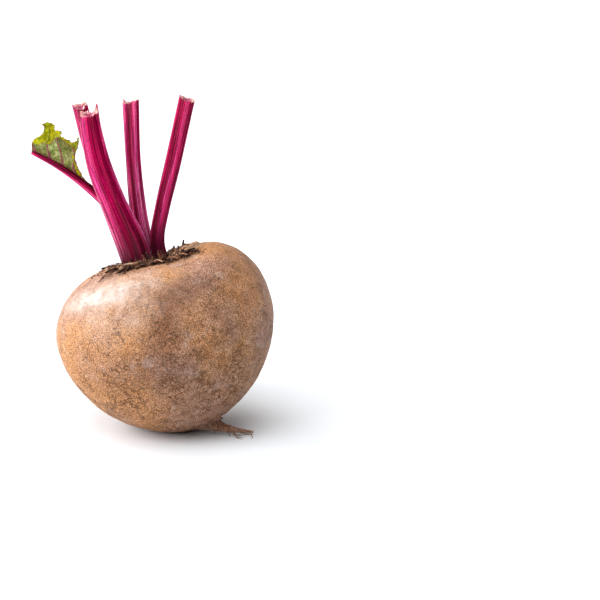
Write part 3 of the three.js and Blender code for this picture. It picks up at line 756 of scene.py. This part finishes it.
def draw_out_tail(points):
    """Draws the solid's blunt tail out into a thin, creased one; takes and gives world millimetres."""
    old, new, thin = [np.array(column, dtype=float) for column in zip(*TAIL)]
    best = np.full(len(points), np.inf)
    moved = points.copy()
    for index in range(len(TAIL) - 1):
        run = old[index + 1] - old[index]
        share = np.clip((points - old[index]) @ run / (run @ run), 0, 1)
        nearest = old[index] + share[:, None] * run
        away = np.linalg.norm(points - nearest, axis=1)
        reach = TAIL_REACH[index] + share * (TAIL_REACH[index + 1] - TAIL_REACH[index])
        mine = (away < best) & (away < reach)
        best = np.minimum(best, away)
        place = new[index] + share[:, None] * (new[index + 1] - new[index])
        along = index + share
        # Creases run round it about 4 mm apart, unevenly.
        rings = np.abs(np.sin(4.2 * along + np.sin(9 * along))) * step_between(0.5, 1.5, along)
        scale = (thin[index] + share * (thin[index + 1] - thin[index])) * (1 - TAIL_CREASE * rings)
        drawn = place + (points - nearest) * scale[:, None]
        moved[mine] = drawn[mine]
    return moved


def lay_along(shape, path, across, wide, twist):
    """A copy of a shape that runs along Y from 0 to 1, laid and twisted along a path."""
    piece = bpy.data.objects.new("laid_piece", shape.data.copy())
    bpy.context.collection.objects.link(piece)
    count = len(path) - 1
    placed, straight = [], []
    for vertex in piece.data.vertices:
        x, y, z = vertex.co
        share = min(max(y, 0), 1) * count
        index = min(int(share), count - 1)
        part = share - index
        before, after = path[max(index - 1, 0)], path[min(index + 2, count)]
        tangent = ((path[index + 1] - before) * (1 - part) + (after - path[index]) * part).normalized()
        side = (across - tangent * across.dot(tangent)).normalized()
        side = Matrix.Rotation(twist * y, 3, tangent) @ side
        at = path[index].lerp(path[index + 1], part) + (y * count - share) * tangent
        placed.append(at + side * x * wide + side.cross(tangent) * z * wide)
        straight.append((x * wide, y * GRAIN_LENGTH, z))
    write_points(piece, placed)
    mark_grain(piece, straight)
    return piece


def root_hair():
    """A side root modelled straight: a ring drawn out and thinned along Y, 1 thick where it starts."""
    circle = bpy.ops.mesh.primitive_circle_add
    upright = (math.pi / 2, 0, 0)
    piece = started("root_hair", circle, vertices=HAIR_SIDES, radius=0.5, fill_type="NGON", rotation=upright)
    open_whole()
    steps = HAIR_POINTS
    for step in range(1, steps + 1):
        bpy.ops.mesh.extrude_region_move(TRANSFORM_OT_translate={"value": (0, 1 / steps, 0)})
        bpy.ops.transform.resize(value=(HAIR_TAPER, 1, HAIR_TAPER), center_override=(0, step / steps, 0))
    close_outwards()
    return piece


def side_roots(material):
    """Fine side roots along the tail, sagging to the ground."""
    random = Random(HAIR_SEED)
    up = Vector((0, 0, 1))
    hair = root_hair()
    pieces = []
    for _ in range(HAIR_COUNT):
        place = random.uniform(*HAIR_PLACES)
        index = int(place)
        low, high = Vector(TAIL[index][1]), Vector(TAIL[index + 1][1])
        run = (high - low).normalized()
        turn = random.uniform(0, 2 * math.pi)
        sideways = run.cross(up).normalized()
        way = sideways * math.cos(turn) + up * math.sin(turn) * 0.8 + run * random.uniform(0.1, 0.9)
        at = low.lerp(high, place - index)
        length, path = random.uniform(*HAIR_LENGTH), []
        for _ in range(HAIR_POINTS):
            path.append(at.copy())
            stray = Vector([random.uniform(-0.3, 0.3) for _ in range(3)])
            way = way.normalized() + stray - up * HAIR_SAG
            at = at + way.normalized() * length / (HAIR_POINTS - 1)
            at.z = max(at.z, HAIR_REST)
        path = [Vector(point) for point in to_root(path)]
        pieces.append(lay_along(hair, path, LEAN.transposed() @ up, random.uniform(*HAIR_WIDTH), 0))
    bpy.data.objects.remove(hair)
    piece = joined(pieces, "side_roots")
    for name, value in (("low", 1), ("painted_shade", 0), ("golden", 0), ("rim", 0.5), ("rubbed_and_highlight", 0)):
        mark(piece, name, value)
    dress(piece, material, "skin", "swollen_root")


def skin_relief(point, lowness, rim):
    """How far the skin stands out: its swellings, creases that are deeper low down, and small dents."""
    at = Vector(point)
    swell = sum(height * noise.noise(at / size) for height, size in SWELLS) - SKIN_SINK
    wide, tall = CREASE_SIZE
    off_crease = abs(noise.noise(Vector((at.x / wide + 9, at.y / wide + 2, at.z / tall + 5))))
    creased = max(0, 0.1 - off_crease) / 0.1 * (0.25 + 0.35 * lowness + 0.6 * rim)
    dented = max(0, noise.noise(at / DENT_SIZE + Vector((3, 8, 1))) - 0.4)
    return swell - CREASE_DEPTH * creased - DENT_DEPTH * dented


def skin_tints_and_light(points):
    """How much painted highlight with rubbed skin, golden tone and painted shade the skin has at each point,
    from 0 to 1.
    """
    level = points[:, 2]
    around = np.degrees(np.arctan2(points[:, 1], points[:, 0]))
    middle, lean, spread, darkness = FURROW_SHADE
    furrow_shade = bell((around - middle - lean * level) / spread)
    furrow_shade *= step_between(-16, 2, level) * (1 - step_between(10, 22, level))
    tints_and_light = {"rubbed_and_highlight": np.zeros(len(points)), "golden": np.zeros(len(points)), "painted_shade": darkness * furrow_shade}
    for kind, turn, high, broad, deep, amount in TINTS_AND_LIGHT:
        tints_and_light[kind] += amount * bell(turned(turn, around) / broad, (level - high) / deep)
    return {kind: np.clip(amounts, 0, 1) for kind, amounts in tints_and_light.items()}


def root_skin(material):
    """The root's whole skin, with its swellings, creases and small dents in the mesh."""
    piece = merged_copy("swollen_root", "root_skin")
    finish_with(piece, "REMESH", mode="VOXEL", voxel_size=SKIN_VOXEL * MM)
    finish_with(piece, "SMOOTH", factor=0.5, iterations=8)
    points, normals = read_points(piece), read_normals(piece)
    u, v, level = points.T
    nearness = 1 - step_between(CROWN_RADIUS + 1, CROWN_RADIUS + 6, from_crown(u, v))
    rim = np.where(level > 10, nearness, 0)
    lowness = 1 - step_between(-22, 12, level)
    relief = np.array([skin_relief(*place) for place in zip(points, lowness, rim)])
    points += normals * relief[:, None]
    placed = draw_out_tail(to_world(points))
    placed[:, 2] = np.maximum(placed[:, 2], 0)
    write_points(piece, to_root(placed))
    mark(piece, "low", 0.22 + 0.78 * lowness)
    mark(piece, "rim", 0.35 * rim)
    for kind, amounts in skin_tints_and_light(points).items():
        mark(piece, kind, amounts)
    dress(piece, material, "skin", "swollen_root")


# ---- The dry crown ----

def scar_height(radius, turn):
    """Ring upon ring of leaf scars, pitted."""
    rings = SCAR_RISE * math.cos(2 * math.pi * radius / SCAR_SPACING)
    pits = SCAR_PITS * math.sin(7 * turn + radius) * math.sin(3 * turn - 0.6 * radius)
    return rings + pits


def crown_cork():
    """The cork on top: a ring drawn inwards ring by ring and laid over the hollow."""
    circle = bpy.ops.mesh.primitive_circle_add
    piece = started("crown_cork", circle, vertices=CORK_SIDES, radius=CORK_RADIUS * MM, fill_type="NOTHING")
    open_whole()
    for ring in range(CORK_RINGS, 1, -1):
        bpy.ops.mesh.extrude_region_move()
        bpy.ops.transform.resize(value=((ring - 1) / ring,) * 3, center_override=(0, 0, 0))
    bpy.ops.mesh.merge(type="CENTER")
    close_outwards()
    placed, tones, bares = [], [], []
    for vertex in piece.data.vertices:
        x, y = vertex.co.x / MM, vertex.co.y / MM
        radius, turn = math.hypot(x, y), math.atan2(y, x)
        wander = 1 + CORK_WANDER * noise.noise(Vector((math.cos(turn) * 2.5, math.sin(turn) * 2.5, 4)))
        u, v = round_crown(turn, radius * wander)
        skirt = step_between(CROWN_RADIUS - 2, CORK_RADIUS, radius)
        rough = noise.fractal(Vector((u, v, 0)) / 2.2, 0.7, 2, 3)
        height = CORK_LIFT + scar_height(radius, turn) + CORK_ROUGHNESS * rough
        placed.append((u, v, top_level(u, v) + height * (1 - skirt) - CORK_SINK * skirt))
        # Few flakes lie on the right, so the cork shows bare there, out near the rim.
        bares.append(step_between(9, 15, radius) * step_between(0.3, 0.75, math.cos(turn)))
        # Darker where the scar rings and pits lie low, which is painted shade, and paler on the skirt where
        # the cork thins over the skin.
        tones.append(0.42 + 0.35 * scar_height(radius, turn) + 0.3 * rough + 0.3 * skirt)
    write_points(piece, placed)
    mark(piece, "tone", np.clip(tones, 0, 1))
    mark(piece, "bare", bares)
    dress(piece, corky_crown(), "crown", "dry_crown")


class SolidDraws:
    """The seeded random numbers that place the solids' flakes."""

    def __init__(self, seed):
        self.state = seed

    def draw(self):
        self.state = (self.state + 0x6D2B79F5) & 0xFFFFFFFF
        state = self.state
        mixed = ((state ^ (state >> 15)) * (1 | state)) & 0xFFFFFFFF
        mixed ^= (mixed + (((mixed ^ (mixed >> 7)) * (61 | mixed)) & 0xFFFFFFFF)) & 0xFFFFFFFF
        return ((mixed ^ (mixed >> 14)) & 0xFFFFFFFF) / 4294967296

    def between(self, low, high):
        return low + (high - low) * self.draw()


def flake_path(start, outward, above, rise, curl, length):
    """A flake's middle line from its start in plan; beyond the crown it follows the skin."""
    at = Vector((*start, top_level(*start) + above))
    path = []
    for step in range(FLAKE_STEPS + 1):
        if step and from_crown(at.x, at.y) > CROWN_RADIUS - 1.5:
            at.z = top_level(at.x, at.y) + FLAKE_LIFT
        path.append(at.copy())
        at += heading(outward, rise + curl * step) * length / FLAKE_STEPS
    return path


def bit_path(start, outward, rise, curl, bow, length):
    """A small bit's middle line, which curls up or down, bows sideways and stays above the crown and skin."""
    at = Vector((*start, top_level(*start)))
    path = []
    for step in range(BIT_STEPS + 1):
        share = step / BIT_STEPS
        cork = BIT_BED * (1 - float(step_between(CROWN_RADIUS - 3, CORK_RADIUS, from_crown(at.x, at.y))))
        at.z = max(at.z, top_level(at.x, at.y) + cork + BIT_LIFT)
        path.append(at.copy())
        at += heading(outward + bow * share, rise + curl * share) * length / BIT_STEPS
    return path


def flake_shape(name, columns, rows, taper, cup, torn, thickness):
    """One flake modelled flat: X across from -0.5 to 0.5, Y along from 0 to 1."""
    grid = bpy.ops.mesh.primitive_grid_add
    piece = started(name, grid, x_subdivisions=columns, y_subdivisions=rows, size=1, location=(0, 0.5, 0))
    random = Random(name)
    for vertex in piece.data.vertices:
        along, side = vertex.co.y, vertex.co.x * 2
        vertex.co.z = cup * side**2 * (0.4 + along)
        ragged = 0.28 * random.uniform(-1, 1) if abs(side) > 0.9 else 0
        vertex.co.x *= (1 - taper * along**2) * (1 + ragged)
        if along > 0.99:
            vertex.co.y += torn * random.uniform(-1, 0.6)
    finish_with(piece, "SOLIDIFY", thickness=thickness, offset=0)
    return piece


def lay_flake(shape, path, outward, wide, twist, tone):
    """A flake along a path that heads outward, as pale as its tone."""
    piece = lay_along(shape, path, heading(outward + math.pi / 2), wide, twist)
    mark(piece, "tone", tone)
    return piece


def leaf_bases(broad, random):
    """The flakes that stand where the solid's flakes stand."""
    draws = SolidDraws(FLAKE_SEED)
    for count, around, ring, above, turning, rise, curl, length, width in FLAKE_KINDS:
        for _ in range(count):
            turn = math.radians(draws.between(*around))
            start = round_crown(turn, draws.between(*ring))
            outward = turn + draws.between(-0.5, 0.5) * turning
            tilt, bend = draws.between(*rise), draws.between(*curl)
            reach, wide = draws.between(*length), FLAKE_NARROWING * draws.between(*width)
            path = flake_path(start, outward, above, tilt, bend, reach)
            tone = random.choice(FLAKE_TONES) + random.uniform(-0.08, 0.08)
            yield lay_flake(random.choice(broad), path, outward, wide, random.uniform(-1.5, 1.5), tone)


def small_bits(broad, splinter, fibre, random):
    """Splinters, fibres and crumbs between the leaf bases: three in ten splinters, half fibres."""
    for count, around, ring, rise, curl, length in BITS:
        for _ in range(count):
            turn = math.radians(random.uniform(*around))
            start = round_crown(turn, random.uniform(*ring))
            outward = turn + random.uniform(-1.9, 1.9)
            reach, bow = random.uniform(*length), random.uniform(-1.6, 1.6)
            path = bit_path(start, outward, random.uniform(*rise), random.uniform(*curl), bow, reach)
            kind = random.random()
            tone = random.uniform(0.0, 0.35) if kind < 0.6 else random.uniform(0.38, 0.9)
            if kind < 0.3:
                wide, twist = random.uniform(0.3, 0.7), random.uniform(-2, 2)
                yield lay_flake(splinter, path, outward, wide, twist, tone)
            elif kind < 0.8:
                yield lay_flake(fibre, path, outward, random.uniform(0.14, 0.3), 0, tone)
            else:
                wide = random.uniform(0.25, 0.4) * reach
                yield lay_flake(random.choice(broad), path, outward, wide, random.uniform(-2.5, 2.5), tone)


def loose_flakes(shape, random):
    """The flakes that lie out on the skin."""
    for wide, tone, places in LOOSE_FLAKES:
        path = []
        for turn, radius, lift in places:
            u, v = round_crown(math.radians(turn), radius)
            path.append(Vector((u, v, top_level(u, v) + lift)))
        run = path[-1] - path[0]
        yield lay_flake(shape, path, math.atan2(run.y, run.x), wide, random.uniform(-0.8, 0.8), tone)


def crown_flakes():
    """All the dry leaf bases, splinters, fibres and crumbs, joined."""
    shapes = [flake_shape(name, *sizes) for name, sizes in FLAKE_SHAPES.items()]
    *broad, splinter, fibre = shapes
    random = Random(LITTER_SEED)
    pieces = [*leaf_bases(broad, random), *small_bits(broad, splinter, fibre, random)]
    pieces += loose_flakes(broad[2], random)
    for shape in shapes:
        bpy.data.objects.remove(shape)
    dress(joined(pieces, "crown_flakes"), dry_scale(), "crown", "dry_crown")


# ---- The leaf stalks ----

def curve_point(points, share):
    """A point on the smooth curve through a row of points."""
    count = len(points) - 1
    place = min(max(share, 0), 1) * count
    index = min(int(place), count - 1)
    t = place - index
    p1, p2 = points[index], points[index + 1]
    p0 = points[index - 1] if index else p1 * 2 - p2
    p3 = points[index + 2] if index + 2 <= count else p2 * 2 - p1
    bend = (2 * p0 - 5 * p1 + 4 * p2 - p3) * t * t + (3 * p1 - p0 - 3 * p2 + p3) * t**3
    return 0.5 * (2 * p1 + (p2 - p0) * t + bend)


def stalk_route(stations):
    """Evenly spaced places along a stalk: distance, point, tangent, width and thickness."""
    points = [Vector(station[:3]) for station in stations]
    sizes = [Vector((*station[3:], 0)) for station in stations]
    shares = np.linspace(0, 1, 401)
    fine = [curve_point(points, share) for share in shares]
    run = np.concatenate([[0], np.cumsum([(b - a).length for a, b in zip(fine, fine[1:])])])
    route = []
    for distance in np.linspace(0, run[-1], round(run[-1] / STATION_SPACING) + 1):
        share = float(np.interp(distance, run, shares))
        before, after = curve_point(points, max(share - 0.01, 0)), curve_point(points, min(share + 0.01, 1))
        at, size = curve_point(points, share), curve_point(sizes, share)
        route.append((float(distance), at, (after - before).normalized(), size.x, size.y))
    return route


def place_on(route, distance):
    """The middle line's point and tangent at a distance along a stalk, with half its width and thickness."""
    index = min(int(distance / route[1][0]), len(route) - 2)
    low, high = route[index], route[index + 1]
    part = (distance - low[0]) / (high[0] - low[0])
    wide = (low[3] + (high[3] - low[3]) * part) / 2
    thick = (low[4] + (high[4] - low[4]) * part) / 2
    return low[1].lerp(high[1], part), low[2].lerp(high[2], part).normalized(), wide, thick


def straight_stalk(name, route):
    """The stalk modelled upright: one ring extruded from station to station, with the cut end drawn in."""
    circle = bpy.ops.mesh.primitive_circle_add
    piece = started(name + "_skin", circle, vertices=STALK_SIDES, radius=MM, fill_type="NOTHING")
    open_whole()
    wide, thick = route[0][3] / 2, route[0][4] / 2
    bpy.ops.transform.resize(value=(wide, thick, 1), center_override=(0, 0, 0))
    for before, after in zip(route, route[1:]):
        step = (0, 0, (after[0] - before[0]) * MM)
        bpy.ops.mesh.extrude_region_move(TRANSFORM_OT_translate={"value": step})
        ratio = (after[3] / before[3], after[4] / before[4], 1)
        bpy.ops.transform.resize(value=ratio, center_override=(0, 0, after[0] * MM))
    end = (0, 0, route[-1][0] * MM)
    for inward in END_RINGS:
        bpy.ops.mesh.extrude_region_move()
        bpy.ops.transform.resize(value=(inward,) * 3, center_override=end)
    bpy.ops.mesh.merge(type="CENTER")
    close_outwards()
    return piece


def rib_waves(turn, distance, seed):
    """The broad ribs, the fine ribs and a slow wave at a place on a stalk's skin, each about -1 to 1."""
    cos, sin = math.cos(turn), math.sin(turn)
    drift = 0.5 * noise.noise(Vector((cos, sin, distance / 45 + seed)))
    slow = noise.noise(Vector((3.1 * cos, 3.1 * sin, distance / 60 + seed)))
    fine = math.cos(FINE_RIBS * turn + 6 * drift + 4 * slow) * (0.6 + 0.8 * slow)
    return math.cos(BROAD_RIBS * turn + drift), fine, slow


def torn_end(offset, turn, inward, seed, slope, splinters):
    """How far the cut end rises above a level cut, and how much of that is splinters."""
    way = math.degrees(math.atan2(offset.y, offset.x))
    torn = sum(tall * bell(turned(toward, way) / spread) for toward, spread, tall in splinters)
    torn *= float(step_between(0.5, 0.9, inward))
    coarse, fine = (noise.noise(Vector((n * math.cos(turn), n * math.sin(turn), seed))) for n in (5, 14))
    jag = coarse + 0.7 * fine
    hollow = CUT_HOLLOW * float(step_between(0.05, 0.85, 1 - inward))
    rise = slope[0] * offset.x + slope[1] * offset.y + torn + JAG_HEIGHT * jag * inward - hollow
    return float(rise), float(torn)


def band_tone(bands, way, distance, is_cut):
    """How much painted light, above 0, or painted shade, below 0, the bands give skin that looks this way; on
    a cut stalk they run out towards the cut.
    """
    painted_light = sum(tone * math.exp(-((turned(toward, way) / spread) ** 4)) for toward, spread, tone in bands)
    if is_cut:
        painted_light *= 1 - (PALE_LOSS if painted_light > 0 else DARK_LOSS) * float(step_between(*BANDS_FADE, distance))
    return painted_light


def stalk_marks(turn, inward, distance, broad, fine, painted_light, olive, cut):
    """What a place on a stalk gives its material to read; the ribs' painted highlights and shade, the dark
    bands of painted shade and the lips end at the cut.
    """
    # Painted highlights on the rib crests, stronger on the lit side, and painted shade in the grooves.
    lit = 0.35 + 0.5 * min(max(painted_light, 0), 1)
    lip = bell((math.sin(turn) + 0.1) / LIP_WIDTH) * (1 - step_between(*OLIVE_ENDS, distance))
    return {
        "painted_light": max(painted_light, 0),
        "crest_highlight": (1 - cut) * (lit * max(0.0, fine) ** 2 + 0.25 * max(0.0, broad) ** 3),
        "groove_shade": (1 - cut) * min(1.0, max(0.0, -fine)) ** 2,
        "shade": (1 - cut) * max(-painted_light, 0),
        "margin": (1 - cut) * olive * lip,
        "foot": 0.8 * (1 - step_between(*FOOT_ENDS, distance)),
        "cut": cut,
        "core": step_between(0.14, 0.45, 1 - inward),
    }


def grow_stalk(name, material, faces, channel, bands, olive, slope, splinters, stations):
    """A ribbed, channelled stalk with a torn cut at its top, shaped upright and then laid along its route."""
    route = stalk_route(stations)
    piece = straight_stalk(name, route)
    out = heading(math.radians(faces))
    seed = Random(name).uniform(0, 100)
    top = route[-1][0]
    placed, straight, marks = [], [], []
    for vertex in piece.data.vertices:
        x, y, distance = (value / MM for value in vertex.co)
        at, tangent, wide, thick = place_on(route, distance)
        turn, inward = math.atan2(y / thick, x / wide), math.hypot(x / wide, y / thick)
        broad, fine, slow = rib_waves(turn, distance, seed)
        swell = 1 + BROAD_RIB_HEIGHT * broad + FINE_RIB_HEIGHT * fine + SLOW_WAVE_HEIGHT * slow
        x, y = x * swell, y * swell
        if y < 0:
            y += channel * thick * float(bell(x / wide / CHANNEL_WIDTH)) * inward
        outward = (out - tangent * out.dot(tangent)).normalized()
        across = outward.cross(tangent)
        offset = across * x + outward * y
        rise, torn = 0.0, 0.0
        nearing = float(step_between(top - CUT_REACH, top, distance))
        if nearing > 0 and splinters:
            rise, torn = torn_end(offset, turn, inward, seed, slope, splinters)
        placed.append(at + offset + tangent * rise * nearing)
        straight.append((x, y, distance + rise * nearing))
        cut = float(step_between(0.02, 0.08, 1 - inward)) if distance > top - 0.01 else 0.0
        cut *= 1 - min(0.9, max(0.0, torn - 1.2))  # the splinters keep their skin
        # The bands paint light and shade by the way the skin here faces.
        facing = across * (math.cos(turn) / wide) + outward * (math.sin(turn) / thick)
        painted_light = band_tone(bands, math.degrees(math.atan2(facing.y, facing.x)), distance, bool(splinters))
        marks.append(stalk_marks(turn, inward, distance, broad, fine, painted_light, olive, cut))
    write_points(piece, placed)
    mark_grain(piece, straight)
    for kind in marks[0]:
        mark(piece, kind, [place[kind] for place in marks])
    dress(piece, material, "stalk", name)


# ---- The torn leaf ----

def leaf_middle(points):
    """Each leaf point's height above the stalk, and the middle that parts the two sheets there, as its V."""
    stations = [Vector(station[:3]) for station in STALKS["leaf_stalk"]["stations"]]
    shares = np.linspace(LEAF_FROM, LEAF_TO, 80)
    line = np.array([curve_point(stations, share) for share in shares])
    run = line[-1] - curve_point(stations, 0.98)
    beyond = shares > 1
    line[beyond] += np.outer((shares[beyond] - 1) * LEAF_RUN, run / np.linalg.norm(run))
    order = np.argsort(line[:, 0])
    middle, stalk, share = [
        np.interp(points[:, 0], line[order, 0], values[order]) for values in (line[:, 1], line[:, 2], shares)
    ]
    height = points[:, 2] - stalk
    cup = LEAF_CUP * np.sin(9 * (share - LEAF_FROM) / (LEAF_TO - LEAF_FROM)) * height
    return height, middle + cup - LEAF_PARTING * np.maximum(height - LEAF_WEB, 0)


def vein_depth(points):
    """How much of a vein runs through each point, thinning up each vein."""
    plan = points[:, [0, 2]]
    depth = np.zeros(len(points))
    for vein in LEAF_VEINS:
        for index, (start, end) in enumerate(zip(vein, vein[1:])):
            low, run = np.array(start, dtype=float), np.subtract(end, start)
            share = np.clip((plan - low) @ run / (run @ run), 0, 1)
            away = np.linalg.norm(plan - low - share[:, None] * run, axis=1)
            width = LEAF_VEIN_WIDTH * (1 - 0.5 * (index + share) / len(vein))
            depth = np.maximum(depth, bell(away / width))
    return depth


def edge_distance(points, edge):
    """How far each point is from the nearest of the points that edge picks."""
    tree = kdtree.KDTree(int(edge.sum()))
    for index in np.flatnonzero(edge):
        tree.insert(points[index], index)
    tree.balance()
    return np.array([tree.find(point)[2] for point in points])


def leaf():
    """The leaf's two waved halves, thinned, and crinkled between raised veins."""
    piece = merged_copy("torn_leaf", "leaf_blade")
    finish_with(piece, "REMESH", mode="VOXEL", voxel_size=LEAF_VOXEL * MM)
    finish_with(piece, "SMOOTH", factor=0.5, iterations=2)
    take(piece)
    open_whole()
    bpy.ops.transform.shrink_fatten(value=-LEAF_THINNING * MM)
    bpy.ops.object.mode_set(mode="OBJECT")
    points, normals = read_points(piece), read_normals(piece)
    height, middle = leaf_middle(points)
    near = points[:, 1] < middle
    veins = vein_depth(points)
    flat = points * [1, 0.15, 1]
    broad, fine = LEAF_CRINKLE_SIZES
    crinkle = np.array([noise.noise(Vector(p) / broad) + 0.5 * noise.noise(Vector(p) / fine) for p in flat])
    is_edge = (np.abs(normals[:, 1]) < 0.45) & (height > LEAF_WEB)  # its faces look along the sheet
    to_edge = edge_distance(points, is_edge)
    tatter = np.array([noise.noise(Vector((x, y / 9, z)) / LEAF_TATTER_SIZE) for x, y, z in points])
    points += normals * [1, 0, 1] * (LEAF_TATTER * tatter * bell(to_edge / LEAF_TATTER_REACH))[:, None]
    points[:, 1] += LEAF_CRINKLE * crinkle * np.clip(height / 3, 0, 1) - LEAF_VEIN_RISE * veins
    points[:, 2] -= LEAF_TUCK * (1 - step_between(*LEAF_TUCK_ENDS, height))
    write_points(piece, points)
    far_face = (points[:, 0] > LEAF_GAP[0]) & (height < LEAF_GAP[1])
    mark(piece, "vein", np.clip(veins * 1.1, 0, 0.85))
    mark(piece, "underside", (near & ~far_face) == (normals[:, 1] < 0))
    mark(piece, "torn_edge", bell(to_edge / LEAF_BROWN_REACH) * np.clip(0.6 + 1.6 * tatter, 0, 1))
    # Painted shade darkens the fold low by the stalk.
    mark(piece, "fold_shade", 1 - step_between(*LEAF_FOLD_ENDS, height))
    dress(piece, leaf_blade(), "leaf", "torn_leaf")


# ---- The studio ----

# Softboxes: the way each stands, from the camera's side round to the right, its height, how wide its light
# spreads, all in degrees, and its strength.
SOFTBOXES = {
    "left_front": (-58, 28, 42, 2.3),
    "left": (-92, 22, 40, 1.4),
    "left_behind": (-130, 26, 40, 2.2),
    "front": (-12, 65, 50, 1.9),
    "behind": (172, 55, 60, 0.9),
    "right_behind": (120, 34, 36, 0.4),
}
SKY_STRENGTH = 0.05
FLOOR_SIZE = 12  # metres


def studio():
    """A paper floor under soft light from all round, strongest from the left."""
    floor = started("floor", bpy.ops.mesh.primitive_plane_add, size=FLOOR_SIZE)
    floor.data.materials.append(white_paper())
    for name, (way, high, spread, strength) in SOFTBOXES.items():
        light = bpy.data.lights.new(name, "SUN")
        light.energy = strength
        light.angle = math.radians(spread)
        lamp = bpy.data.objects.new(name, light)
        stands = heading(math.radians(way - 90), math.radians(high))
        lamp.rotation_euler = stands.to_track_quat("Z", "Y").to_euler()
        bpy.context.collection.objects.link(lamp)
    sky = bpy.data.worlds.new("studio")
    sky.use_nodes = True
    feed(sky.node_tree.nodes["Background"], Color=(1, 1, 1, 1), Strength=SKY_STRENGTH)
    bpy.context.scene.world = sky
    bpy.context.scene.view_settings.view_transform = "Standard"


def camera():
    """A long lens from the front, a little above."""
    forward = Vector((0, math.cos(CAMERA_ELEVATION), -math.sin(CAMERA_ELEVATION)))
    right = Vector((1, 0, 0))
    up = right.cross(forward)
    pixel = CAMERA_DISTANCE * SENSOR / LENS / FRAME_PIXELS
    middle = FRAME_PIXELS / 2
    at = ROOT_MIDDLE - forward * CAMERA_DISTANCE
    at += right * (middle - ROOT_PIXEL[0]) * pixel - up * (middle - ROOT_PIXEL[1]) * pixel
    lens = bpy.data.cameras.new("camera")
    lens.lens = LENS
    lens.sensor_width = SENSOR
    lens.clip_end = 50
    eye = bpy.data.objects.new("camera", lens)
    eye.location = at * MM
    eye.rotation_euler = (math.pi / 2 - CAMERA_ELEVATION, 0, 0)
    bpy.context.collection.objects.link(eye)
    bpy.context.scene.camera = eye


camera()
studio()
skin = periderm()
root_skin(skin)
side_roots(skin)
crown_cork()
crown_flakes()
stalk_skin = petiole()
for stalk_name, stalk in STALKS.items():
    grow_stalk(stalk_name, stalk_skin, **stalk)
leaf()
